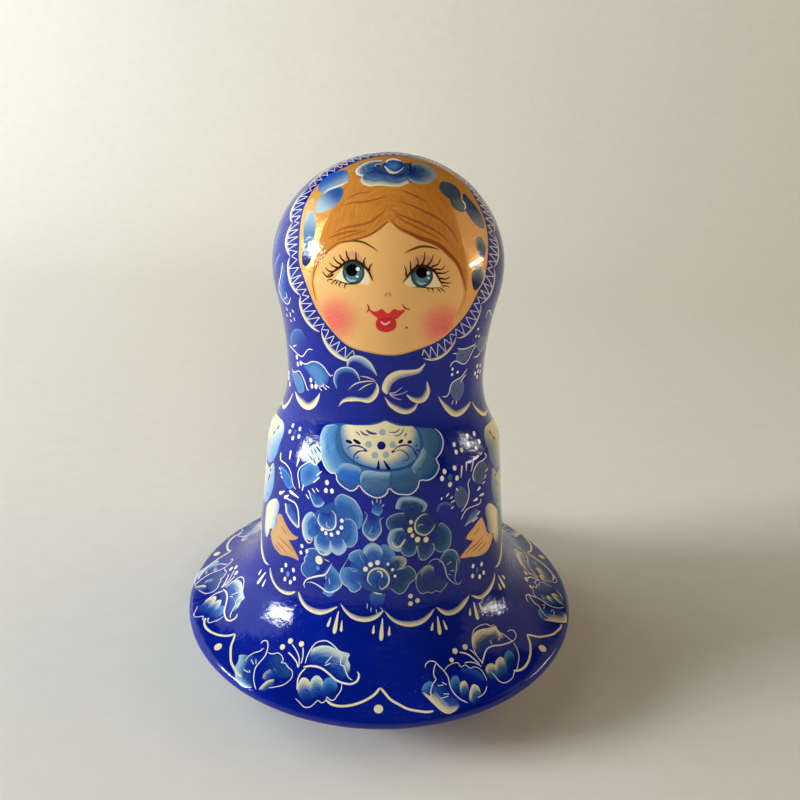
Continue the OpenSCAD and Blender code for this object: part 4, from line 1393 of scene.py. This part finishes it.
def sleeve_blend(outline):
    """Share of cream over a sleeve's puff, which turns blue towards its front edge and towards its foot."""
    low, high = outline.min(axis=0), outline.max(axis=0)

    def cream(places):
        across, down = np.moveaxis((places - low) / (high - low), -1, 0)
        shade = ease(0.45, 0.92, (1 - across) * 0.75 + down * 0.3)
        return 0.95 - 0.95 * np.maximum(shade, 0.75 * ease(0.72, 1.0, np.maximum(across, down)))
    return cream


def paint_chip():
    """The knock on the left shoulder, where the lacquer and the paint are scraped off."""
    chip = Brushwork("shoulder_chip", scraped_paint)
    chip.blot("308,450 309.5,446 313,443.5 317,443 320,448 322,454 321,460 318,463 315.5,466 312,463 "
              "308.5,459.5 309,454",
              (315, 454), WHITE, DOVE * 1.5, STEEL, LINE, blend=0.9)
    chip.ribbon("308.5,448.5 311,445 314.5,443.2 317.5,444", 3.4, swell, NAVY, lift=BEAD)
    chip.ribbon("316,446 319,449.5 321.5,453.5", 2.6, swell, NAVY, lift=BEAD)
    chip.dashes("311,449-314.5,456 309.5,455-313,461 314,448-317,454 313.5,458-316,465 318.5,457-320,461",
                1.7, swell, LASH, BEAD)
    chip.dashes("312.5,450-315.5,458 310,453-313,459 317,456-318,462", 1.4, swell, WHITE, BEAD + 0.01)


def paint_sleeves():
    """Puffed sleeves at both sides, and the hands that come out of them."""
    # Both sleeves share one outline. The right one's blue is darker: painted shade for the doll's shaded
    # right side.
    for name, side, blue in (("left", -1, SKY * 1.1), ("right", 1, STEEL)):
        sleeve = Brushwork("sleeve_" + name, cuff_paint, chart=girth(side))
        for i, puff in enumerate(SLEEVE_PUFFS):
            edge = spots(puff)
            rule = sleeve_blend(edge)
            sleeve.blot(puff, edge.mean(axis=0), CREAM, CREAM, blue, UPPER + 0.01 * i, blend=rule)
        marks = Brushwork("sleeve_marks_" + name, feature_paint, chart=girth(side))
        marks.dashes("70.2,73.6-70.8,75.4 71.6,75.6-71.8,77 67.5,85.9-67.6,87.3 68.4,88-68.4,89.5 "
                     "69.6,89.4-69.7,90.8 69.2,94.4-69.5,95.4 84,77-84.6,78.6 86.5,79.4-86.8,80.8 "
                     "82,91-82.2,92.4", 4.2, swell, NAVY, BEAD)
    # The right hand's flesh is painted 1.4 times lighter than the left's: painted light for the dim right
    # side.
    for name, outline, heart, flesh, fingers in (
            ("hand_left", HAND_LEFT, (282, 541), HAND,
             "281,525 284,530 287,535|278,535 284,542 291,549 294,553|276,540 282,547 288,554|"
             "275,543 279,549 282,553"),
            ("hand_right", HAND_RIGHT, (481, 543), HAND * 1.4, "480,526 476,532 472,536|"
             "484,534 478,542 470,549 464,555|484,539 478,546 470,553|487,541 482,547 476,553")):
        hand = Brushwork(name, skin_paint)
        hand.blot(outline, heart, flesh * 0.9, flesh, HAND_SHADE, UPPER, loaded=0.5)
        hand.strokes(fingers, 2.2, swell, RUSSET, 0.9, flesh, FINE_LINE)


# The apron

THIN_LINE = 1.75            # pixels; the brush lays a thinner line with less paint


def paint_flower(name, petals, lines, beads, bud=None, bed=None):
    """One flower: bed, petals from back to front, the bud in their midst, drawn lines, beads."""
    flower = Brushwork(name, petal_paint)
    if bed:
        flower.blot(bed[0], spots(bed[0]).mean(axis=0), bed[1], bed[1], lift=WASH, blend=0.9)
    for edge, heart, light, body, fade, line in petals:
        flower.petal(edge, heart, light, body, fade, line, loaded=0.4)
    if bud:
        flower.petal(*bud, fade=0.3, lift=UPPER)
    for paths, width, paint in lines:
        flower.strokes(paths, width, swell, paint, 0.55 if width < THIN_LINE else 0.85, AZURE, FINE_LINE)
    for centres, radius, paint in beads:
        flower.dots(centres, radius, paint, tall=1.15)


def paint_roses():
    """The three roses of the apron."""
    paint_flower("apron_rose_left", (
        ("334,503 337,497 341,494.5 347,496 354,500 359,507 363,516 361,527 355,531", (339, 523), SKY,
         AZURE, 0.75, 0),
        ("312,541 306,538 303,530 303,522 306,515 311,512 316,516", (321, 528), ICE, AZURE, 0.5, 1.0),
        ("315,536 315,546 320,553 326,555 331,552 332,544", (324, 527), ICE, AZURE, 0.55, 1.2),
        ("331,540 330,547 334,553 339,555 345,551 347,545", (334, 527), ICE, AZURE, 0.55, 1.2),
        ("344,519 350,519 355,523 357,531 357,540 353,546 348,547 344,542 342,538", (337, 528), SKY, AZURE,
         0.55, 1.0)),
        (("334,502 337,497 341,494.5 347,496 354,500 359,507 363,516", 1.6, WHITE),
         ("306,515 303,522 303,530 305,538 309,543 313,540", 3.0, CREAM),
         ("320,513 318,519 320,525 325,529 331,530 335,527 336,520 335,514 331,510", 2.0, WHITE),
         ("327,521 327,526 331,528", 1.4, WHITE), ("316,547 320,553 326,555 331,552", 2.2, CREAM)),
        (("342,520.5 341.5,527.5 338,532.5 331.5,534.5 326,533 322.5,529", 2.1, WHITE),),
        ("319,513 318,519 320,525 325,529 331,530 335,527 336,520 335,514",
         "323,511 323,511.5 325,512 327,512 329,512 330,511 331,511", SKY, AZURE),
        ("312,516 322,507 336,501 350,505 356,516 353,530 348,540 336,546 322,546 312,537", AZURE * 0.75))
    paint_flower("apron_rose_right", (
        ("395,509 396,504 400,498 408,497.5 417,498 425,502 427,505 425,511 421,512", (413, 513), ICE, SEA,
         0.45, 0),
        ("391,531 387,526 387,520 391,516 398,513.5 405,513", (409, 526), TEAL, SEA, 0.45, 1.0),
        ("438,527 441,523 446,526 450,531 451,538 450,545 446,550 440,552 434,549", (428, 534), TEAL, SEA,
         0.35, 0.8),
        ("403,528 395,529 391,531 388,537 388,542 391,548 396,551 401,551", (411, 537), ICE, SEA * 1.3, 0.5,
         1.0),
        ("400,550 404,555 410,556 415,553 417,545", (412, 537), TEAL * 1.2, SEA, 0.5, 1.1),
        ("417,545 418,552 420,559 424,560 430,556 434,550 434,545 431,543", (424, 537), TEAL, SEA, 0.5,
         0.9)),
        (("396,504 400,498 408,497 417,498 425,502 427,505 425,511", 1.6, ICE),
         ("392,541 394,546 399,547 404,541 406,538", 3.4, CREAM),
         ("428.5,514.5 424,514 418,518 415,524 416,531 420,534 425,535 430,532 434,527 434.5,523.5", 2.0,
          CREAM),
         ("418,528 419,525 422,524.5 424,525", 1.5, CREAM)),
        (("411,522 412.5,535.5", 2.1, CREAM), ("410,530 417.5,539.5 426,539.5", 2.9, CREAM)),
        ("427,514 422,515 417,520 416,528 419,533 425,534.5 431,531 434,525",
         "429,516 428,517 428,518 428,520 429,522 430,522 432,520", TEAL, SEA),
        ("393,522 402,510 416,504 428,511 442,530 440,545 424,553 404,548 394,538", SEA * 0.8))
    bud = "372,586 368,581 368,576 371,571 376,568.5 382,569 386,572 389,578"
    paint_flower("apron_rose_low", (
        ("348,560 349,554 354,551 360,550 363,553 365,562", (368, 572), SKY, AZURE, 0.6, 0),
        ("381,545 386,545 392,550 396,556 394,562", (379, 571), SKY, AZURE * 0.9, 0.55, 0),
        ("362,552 366,546 373,543 380,546 384,553", (376, 570), ICE, AZURE, 0.6, 0),
        ("357,569 350,567 343,568 340,576 342,582 348,587 351,591 356,592 361,588", (369, 578), SKY, AZURE,
         0.55, 0),
        ("391,556 396,556 403,557 406,560 405,565 400,569 394,570", (385, 572), PALE * 0.6, SEA, 0.45, 0),
        ("397,570 404,568 408,566 413,569 416,574 415,579 410,583 407,588 404,592 399,594 394,591 390,588",
         (386, 578), TEAL * 0.7, AZURE * 0.4, 0.45, 0.9)),
        (("348,559 350,554 355,551 360,550 362,552", 1.5, WHITE),
         ("348,558 343,567 341,570 340,576 342,582 345,585 348,587 351,591 355,592 361,587 359,583 357,582",
          1.4, WHITE), ("362,551 366,546 373,543 380,546", 1.6, ICE),
         ("381,545 386,545 392,550 396,556", 1.2, ICE),
         ("350,567 353,571 359,570", 1.3, ICE), ("359,551 361,558 365,563", 1.0, ICE),
         ("396,556 403,557 406,560 405,565 400,569", 1.6, CREAM),
         (bud + " 388,584 384,588 381,589 379,585", 2.8, CREAM),
         ("376,571 381,572 382,577 380.5,578", 2.6, CREAM)),
        (("365.5,569 370.5,564.5 377.5,562.5", 2.6, WHITE), ("388,564 392.5,569.5 395,576", 1.6, WHITE)),
        (bud, "380,590 379,588 378,585 378,582 379,580 381,580 384,582", TEAL, AZURE),
        ("349,572 354,558 366,551 384,551 394,560 404,572 400,586 388,590 372,592 357,585", AZURE * 0.7))


def paint_apron_buds():
    """The buds between the roses, the leaves below them and the dots."""
    paint_flower("apron_buds", (
        ("365,518 363,526 363,532 367,537 372,540.5 376,538 381,532 381,526 381,519",
         "369,512 369,514 370,516 372,517 374,517 376,516 378,513", SKY, AZURE, 0.35, 0),
        ("371,512 374,514 377,515 380,515 383,511", "374,499 376,500 378,500 380,500 382,501", SKY, AZURE,
         0.3, 0),
        ("369,596 372,592 378,592 383,594 386,592", "371,606 374,608 378,608 382,607 384,604", TEAL, AZURE,
         0.3, 0)),
        (("364,511 367,515 366,520 363,526 363,532 367,537 372,540.5 376,538 381,532 381,526 380,520 "
          "384,517", 1.7, WHITE), ("366,536 372,540 378,537", 3.6, CREAM),
         ("371,525 372,528 369,533 374,534", 1.4, ICE),
         ("374,513 377,514.5 380,515", 2.0, ICE), ("373,592 378,593.5 383,594", 2.0, CREAM),
         ("372,500 373,505|377,498.5 377,503|381,499.5 380,504|384,504 382,507", 1.4, WHITE),
         ("367.5,603 367,609|371,607 371,612|376,609 377,614|380,607 384,612", 1.3, WHITE)), ())
    paint_flower("apron_leaves", (
        ("308,578 304,575 301.5,570 302,565 305,561 304.5,558 307,555 306,552 310,548.5 317,549 325,550",
         (324, 568), AZURE, AZURE * 0.8, 0.5, 0),
        ("331,564 339,573 343,580 342,586 337,590 330,597 322,593",
         "316,580 317,580 319,579 321,578 323,577 325,575 328,571", SKY, AZURE, 0.4, 0),
        ("421,569 417,576 416,583 418,590 422,593.5 428,592 432,593 436,590.5 440,592 444,588 448,582",
         (434, 572), SEA, SEA, 0.35, 0.8),
        ("419,573 423,567 429,564.5 434,567", "424,590 428,588 432,586 436,582", PALE * 0.5, SEA, 0.1, 0),
        ("438,562 444,553 449,549.5 455,551 458,556 460,563 457,573",
         "444,567 445,568 446,570 447,572 448,574 449,576 450,578", TEAL, SEA, 0.35, 0)),
        (("325,550 317,549 310,548.5 306,552 307,555 304.5,558 305,561 302,565 301.5,570 304,575 308,578",
          1.4, WHITE),
         ("305,588 304,584 306,580 310,578 318,576 325,574.5 329,569 332,563", 2.6, WHITE),
         ("306,583 310,582 316,584 322,588 328,592 335,591 341,586 343,580", 1.8, WHITE),
         ("440,559 444,553 449,549.5 455,551 458,556 460,563", 1.6, CREAM),
         ("428,564 432,560 437,559 442,562 445,568 447,576 450,580 455,583.5 459,584 462,580", 1.5, WHITE),
         ("457,558 456,570 455,580 458,584", 1.2, WHITE),
         ("324,559 330,562|326,575 326,580|329,577 330,585", 1.4, WHITE),
         ("446,565 452,561|449,571 455,570|448,574 451,575", 1.1, WHITE)),
        (("319,560", 4.4, CREAM), ("318,568", 2.2, SKY), ("302,546 301,552.5 307,551", 2.0, WHITE)))
    dots = Brushwork("apron_dots", line_paint)
    dot_flower(dots, "288,574", "286,565 282,570 293.5,570 285,579 294.5,578.5 290.5,582", 2.0, SKY)
    dot_flower(dots, "477,570", "473,566 481.5,564 472.5,576 479.5,576.5 483.5,572.5", 2.1, TEAL)
    dots.dots("410.5,596 417.5,600.5 410.5,603.5", 2.6, CREAM)


HEM = (("270,567 270,575 273,583 278,590 284,594 290,595 296,592",
        "270.5,568 274,580 280,588 288,591 295,591"),
       ("298,591 299,598 303,606 310,612 320,615 330,612 338,607",
        "299,592 306,603 315,608 325,609 337,606"),
       ("340,603 344,611 352,619 362,622 372,621 380,616 384,610",
        "341,604 350,612 360,616 370,616 383,610"),
       ("384,610 389,618 397,624 410,627 422,624 430,617 435,608",
        "385,611 396,619 410,621 422,618 434,608.5"),
       ("436,607 440,612 446,615.5 453,615 461,610 467,602 470,594",
        "437,607 448,610 456,607 463,600 469.5,595"),
       ("471,595 475,598 481,599 487,595 492,588 495,578 495,572",
        "472,595 480,595 486,590 491,583 494.5,573"))
DROPS = (("262,569-258.5,575 266,579-262,587", "266,572-257,584"),
         ("331,617-327.5,627 342,620-341,632", "338.5,611-334,634"),
         ("374,625-373,634 389.5,626-389,636", "382.5,618-381,641"),
         ("433,622-431.5,631 443,620-447,630", "437.5,616-440,635"),
         ("470,608-470,616 479,603-483,612", "473.5,602-478,620"),
         ("502,575-505,579 498,583-501,590", "498,575-505,588"))


APRON_SIDE = (84, 106)      # where the apron's hem turns to the back: degrees, millimetres below the crown
APRON_BACK = (276, 106)
BACK_SCALLOPS = 9


def paint_apron_hem():
    """The apron's scalloped hem, which rises at the sides and goes on round the back, with trios of drops."""
    hem = Brushwork("apron_hem", line_paint)
    for outer, inner in HEM:
        hem.band(outer, inner, CREAM, 0.25)
    for small, large in DROPS:
        hem.dashes(small, 4.6, drop, CREAM)
        hem.dashes(large, 7.0, drop, CREAM)
    for name, side, front in (("left", -1, (58.7, 114.4)), ("right", 1, (61.5, 114.6))):
        hem = Brushwork("apron_hem_" + name, line_paint, chart=girth(side))
        scallops(hem, front, APRON_SIDE, 1, 3.6, 2.0)
    hem = Brushwork("apron_hem_back", line_paint, chart=girth(1))
    scallops(hem, APRON_SIDE, APRON_BACK, BACK_SCALLOPS, 3.8, 1.4)
    for turn, below in np.linspace(APRON_SIDE, APRON_BACK, BACK_SCALLOPS + 1):
        for lean, top, foot, width in ((-3.2, 2.4, 4.9, 4.6), (0, 1.5, 6.4, 7.0), (3.2, 2.4, 4.9, 4.6)):
            path = np.array([(turn + lean, below + top), (turn + lean * 1.15, below + foot)])
            hem.ribbon(path, width, drop, CREAM)


# The skirt

def bell_pair(name, turn, fills, lines, beads):
    """Two bell flowers with their stamens: loaded fills, then drawn lines, then beads."""
    tag = "" if not turn else "_turned_%d" % turn
    bells = Brushwork(name + tag, petal_paint, turn)
    for edge, heart, light, body, fade in fills:
        bells.petal(edge, heart, light, body, fade, loaded=0.55, soft=0.14)
    for width, paths in lines:
        bells.strokes(paths, width, steady, WHITE, 0.9)
    for centres, radius in beads:
        bells.dots(centres, radius, CREAM)


BELLS_LEFT = ((
    ("246,655 239,655 238,661 235,667 235,676 238,682 244,687 253,687",
     "262,656 259,661 257,665 255,669 254,673 254,677 254,681 254,684", ICE, AZURE * 0.8, 0.2),
    ("272,656 279,655 283,661 288,667 291,673 290,679", "266,660 264,664 262,668 262,672 264,676 270,680",
     AZURE * 0.6, AZURE * 0.5, 0.2),
    ("262,679 264,673 269,669 276,668", "267,683 270,681 275,678 281,673", PALE * 0.6, AZURE, 0.3),
    ("258,690 262,685 268,680 275,679", "264,692 267,691 271,689 274,685", CREAM, TEAL, 0.4),
    ("309,654 312,649 320,645.5 328,645.5 336,648.5 343,651.5 350,654 348,659 350,664 350,672",
     "307,664 311,665 316,666 321,668 326,671 330,675 334,678 338,680 342,681 346,681", PALE, AZURE, 0.35),
    ("297,690 299,681 303,677 308,679 311,685", "299,700 302,703 305,704 308,703 312,700", CREAM, AZURE,
     0.3),
    ("309,686 312,678 317,675 322,679 324,685", "309,702 313,702 317,700 321,698 324,697", PALE, AZURE,
     0.3),
    ("322,686 325,679 330,677 335,680 338,687", "322,699 326,698 330,697 334,695 337,692", SKY, AZURE,
     0.25)),
    ((1.4, "261,644 263,641 267,641 268,646 267,651 265,656 260,662 256,667 254,674 254,682 256,690|"
           "305,664 307,657 311,649 316,643 321,641 327,641 333,645 337,649 341,655 341,665 344,666 "
           "346,672 349,678 353,680.5|292,644 296,650 299,657 299,667|303,647 303,656 301,664"),
     (1.1, "264,648 260,651 254,653 248,657 245,662|239,672 236,677 238,682 244,687 252,687.5|"
           "267,652 272,654 278,653 282,656 283,661 281,663 285,663 288,667 292,671 292,677 289,681 "
           "283,685 275,687 268,688|251,659 254,665|256,659 256,664|243,669 249,673|249,670 250,673|"
           "333,655 325,664|331,663 324,666|295,698 300,703 304,707 310,707 315,703 318,700.5 322,703 "
           "326,700 327,697 330,700 334,700 337,696 341,690 342,683"),
     (2.6, "303,667 312,666 321,668 328,673 336,680 343,683 351,684 357,681 359,675 357,671.5"),
     (1.8, "306,668 301,673 298,679 297,690|288,652 293,657 297,663 298,668")),
    (("282.5,647 290.5,641 301.5,644", 3.0),))
BELLS_RIGHT = ((
    ("421,692 426,697 433,704 441,711 448,714 454,712 460,707",
     "433,683 437,681 442,682 447,685 451,690 455,695 461,700", CREAM, AZURE, 0.2),
    ("421,691 424,684 430,681 434,683", "429,696 431,698 433,697 435,694", SKY, AZURE, 0.3),
    ("460,668 467,668 475,669 482,674 485,681", "458,676 461,680 465,682 470,683 476,684", AZURE, DEEP,
     0.3),
    ("450,685 452,677 457,675.5 460,682", "453,694 456,695 459,694 461,692", SKY, AZURE, 0.3),
    ("459,689 461,682 465,680.5 468,686", "461,698 464,698 467,697 470,695", CREAM, TEAL, 0.3),
    ("469,700 470,690 473,684 478,686 481,693", "473,706 476,705 479,702 481,700 482,697", CREAM, TEAL,
     0.35),
    ("473,647 472,639 475,632 481,629 490,627.5 495,626 500,633 505,637",
     "482,662 482,658 484,653 486,650 489,648 493,646.5 498,645.5 504,644.5", CREAM, SEA * 1.2, 0.4),
    ("485,671 487,665 492,663 497,668", "490,681 494,682 498,681 501,679", CREAM, TEAL, 0.3),
    ("495,669 496,660 501,656.5 506,662", "498,678 502,679 506,677 510,674", CREAM, TEAL, 0.3),
    ("504,664 504,655 508,650 514,654", "508,674 512,672 515,668 517,664", SKY, SEA, 0.3)),
    ((1.3, "425,668 426,664 430,661 435,662 439,666 444,671 448,677 450,686 453,692 460,699 468,703|"
      "436,663 434,669 434,676 436,679 433,684 431,690 431,697|469,649 475,654 480,660 483,664|"
      "464,663 470,662 477,664 482,667"),
     (1.0, "437,686 444,685|442,682 447,685|440,699 449,696|443,694 450,694|"
           "487,686 485,692 481,696 477,698|444,671 448,666 454,663 458,663 461,667 465,665 470,668 "
           "475,667 481,670 485,676 487,681|482,663 477,656 473,647 472,638 474,630 479,626 486,624 "
           "491,626 495,624|490,640 492,645|500,637 498,641|495,625 499,632 503,634 508,638 513,641 "
           "516,636 514,631 510,630 507,632|513,642 517,649 519,657 518,664 517,669 514,673 513,677 "
           "509,681 504,683 499,681 494,675 490,671"),
     (2.0, "482,664 484,656 487,649 493,646 501,645 508,643 513,641|459,652 467,654 474,659 480,665")),
    (("451.5,660", 2.4), ("455,651 465,647", 3.1)))

RIM_TURNS = (0, -54, 56, 106, 156, -154, -104)      # degrees to each point between two scallops of the rim
LEFT_TURNS = (0, -53, -104, -154)
RIGHT_TURNS = (0, 55, 106)


def paint_skirt():
    """Scallops and dots along the skirt's rim and a pair of flowers over each, all the way round."""
    rim = Brushwork("skirt_hem", line_paint)
    for turn in RIM_TURNS:
        rim.turn = math.radians(turn)
        rim.ribbon("326,700 331,704 338,706 346,706 356,704 366,700 375,694 380,687.5", 3.2, steady, CREAM)
        rim.ribbon("380,687.5 384,692 390,699 398,704 408,709 418,711 427,712 434,711", 3.2, steady, CREAM)
        rim.dots("378.5,709", 4.6, CREAM)
    for turn in LEFT_TURNS:
        bell_pair("bell_pair_left", turn, *BELLS_LEFT)
    for turn in RIGHT_TURNS:
        bell_pair("bell_pair_right", turn, *BELLS_RIGHT)


def paint_doll():
    """All the painting, from the face down to the skirt's rim."""
    paint_face()
    paint_features()
    paint_crown()
    paint_lace()
    paint_kerchief()
    paint_neck()
    paint_kerchief_edge()
    paint_bib()
    paint_bodice()
    paint_chip()
    paint_sleeves()
    paint_roses()
    paint_apron_buds()
    paint_apron_hem()
    paint_skirt()
    for work in Brushwork.begun:
        work.hang()


# The stage

FLOOR_SIDE = 1.6
FLOOR_BACK = 0.42
FLOOR_BEND = 0.30
FLOOR_RISE = 0.34
FLOOR_TINTS = ("#ebe7dd", "#f2efe8")
FLOOR_ROUGHNESS = 0.85
WALL_R = 4.0
WALL_SIDES = 96
WALL_TINTS = ("#c6c4be", "#cecbc4")


def mottle(tree, where, scale, tints):
    """A pale colour that wanders between two tints."""
    low, high = (colour4(tint(code)) for code in tints)
    return mix_node(tree, noise(tree, where, scale), low, high)


def set_floor():
    """A plain pale sheet that lies under the doll and rises in a wide bend behind it."""
    bend = arc((FLOOR_BACK, FLOOR_BEND), FLOOR_BEND, -90, 0, steps=24)
    line = np.vstack([[(-FLOOR_SIDE, 0)], bend, [(FLOOR_BACK + FLOOR_BEND, FLOOR_RISE)]])
    points = [(x, y, z) for y, z in line for x in (-FLOOR_SIDE, FLOOR_SIDE)]
    faces = [(2 * i, 2 * i + 1, 2 * i + 3, 2 * i + 2) for i in range(len(line) - 1)]
    mesh = bpy.data.meshes.new("floor")
    mesh.from_pydata(points, [], faces)
    mesh.shade_smooth()
    material, tree, shader, where = finish_shader("pale_floor")
    tree.links.new(mottle(tree, where, 140.0, FLOOR_TINTS), shader.inputs["Base Color"])
    shader.inputs["Roughness"].default_value = FLOOR_ROUGHNESS
    mesh.materials.append(material)
    floor = stand("floor", mesh)


def set_backdrop():
    """A pale wall all round, far behind the lights, which only the camera sees."""
    ring = arc((0, 0), WALL_R, 0, 360, WALL_SIDES)[:-1]
    points = [(x, y, z) for z in (-WALL_R / 3, WALL_R) for x, y in ring]
    edges = [(i, (i + 1) % WALL_SIDES) for i in range(WALL_SIDES)]
    mesh = bpy.data.meshes.new("backdrop")
    mesh.from_pydata(points, [], [(i, k, k + WALL_SIDES, i + WALL_SIDES) for i, k in edges])
    material, tree, shader, where = finish_shader("pale_wall")
    tree.links.new(mottle(tree, where, 2.0, WALL_TINTS), shader.inputs["Emission Color"])
    shader.inputs["Emission Strength"].default_value = 1.0
    shader.inputs["Base Color"].default_value = (0.0, 0.0, 0.0, 1.0)
    mesh.materials.append(material)
    wall = stand("backdrop", mesh)
    for seen_by in ("diffuse", "glossy", "transmission", "volume_scatter", "shadow"):
        setattr(wall, "visible_" + seen_by, False)


# The lights: azimuth from the camera's side and elevation, distance, size in metres, watts, colour
LIGHTS = {
    "window_left": (-80, 16, 1.4, (0.44, 0.27), 18.5, (0.95, 1.0, 1.0)),
    "wall_left": (-104, 18, 2.2, (2.0, 1.4), 13.0, (0.9, 0.99, 1.0)),
    "wash_left": (-92, 42, 2.2, (2.0, 1.4), 14.0, (0.9, 0.99, 1.0)),
    "window_right": (93, 8, 0.7, (0.24, 0.035), 0.85, (1.0, 0.95, 0.88)),
    "wall_right": (98, 24, 2.2, (2.4, 1.6), 6.5, (1.0, 0.88, 0.68)),
    "wash_right": (98, 24, 2.2, (2.4, 1.6), 18.0, (1.0, 0.66, 0.24)),
    "low_fill": (0, 7, 1.2, (1.2, 0.27), 0.7, (1.0, 0.9, 0.7)),
    "face_light": (14, 16, 1.0, (0.4, 0.1), 0.055, (1.0, 0.9, 0.74), 0.12),
}
UNMIRRORED = ("wash_left", "wash_right", "low_fill", "face_light")
FACE_SPREAD = 22            # degrees
ROOM_COLOUR = (1.0, 0.95, 0.88, 1.0)
ROOM_STRENGTH = 0.035


def hang_light(name, azimuth, elevation, distance, size, power, colour, height=0.07):
    """A soft rectangular light that faces the doll at a height."""
    data = bpy.data.lights.new(name, "AREA")
    data.shape = "RECTANGLE"
    data.size, data.size_y = size
    data.energy = power
    data.color = colour
    light = stand(name, data)
    around, up = math.radians(azimuth), math.radians(elevation)
    aim = Vector((math.sin(around) * math.cos(up), -math.cos(around) * math.cos(up), math.sin(up)))
    light.location = Vector((0, 0, height)) + aim * distance
    light.rotation_mode = "QUATERNION"
    light.rotation_quaternion = aim.to_track_quat("Z", "Y")
    return light


def set_lights():
    """A bright window and a pale wall at the left, their warm echo at the right and soft light in front.

    The unmirrored lights only light the paint, and the right window is only mirrored in it."""
    lights = {name: hang_light(name, *row) for name, row in LIGHTS.items()}
    lights["window_right"].visible_diffuse = False
    lights["face_light"].data.spread = math.radians(FACE_SPREAD)
    for name in UNMIRRORED:
        lights[name].visible_glossy = False
    world = bpy.data.worlds.new("room")
    bpy.context.scene.world = world
    world.use_nodes = True
    background = world.node_tree.nodes["Background"]
    background.inputs["Color"].default_value = ROOM_COLOUR
    background.inputs["Strength"].default_value = ROOM_STRENGTH
    world.cycles_visibility.glossy = False


def set_camera():
    data = bpy.data.cameras.new("camera")
    data.lens = LENS
    data.sensor_width = SENSOR
    data.clip_start = 0.01
    camera = stand("camera", data)
    axes = Matrix((VIEW_RIGHT, VIEW_UP, -VIEW_FORWARD)).transposed()
    camera.matrix_world = Matrix.Translation(Vector(CAMERA_AT * MM)) @ axes.to_4x4()
    bpy.context.scene.camera = camera


bpy.context.scene.view_settings.view_transform = "Standard"
set_camera()
set_floor()
set_backdrop()
set_lights()
finish_inner_pieces()
turn_body()
turn_base()
paint_doll()
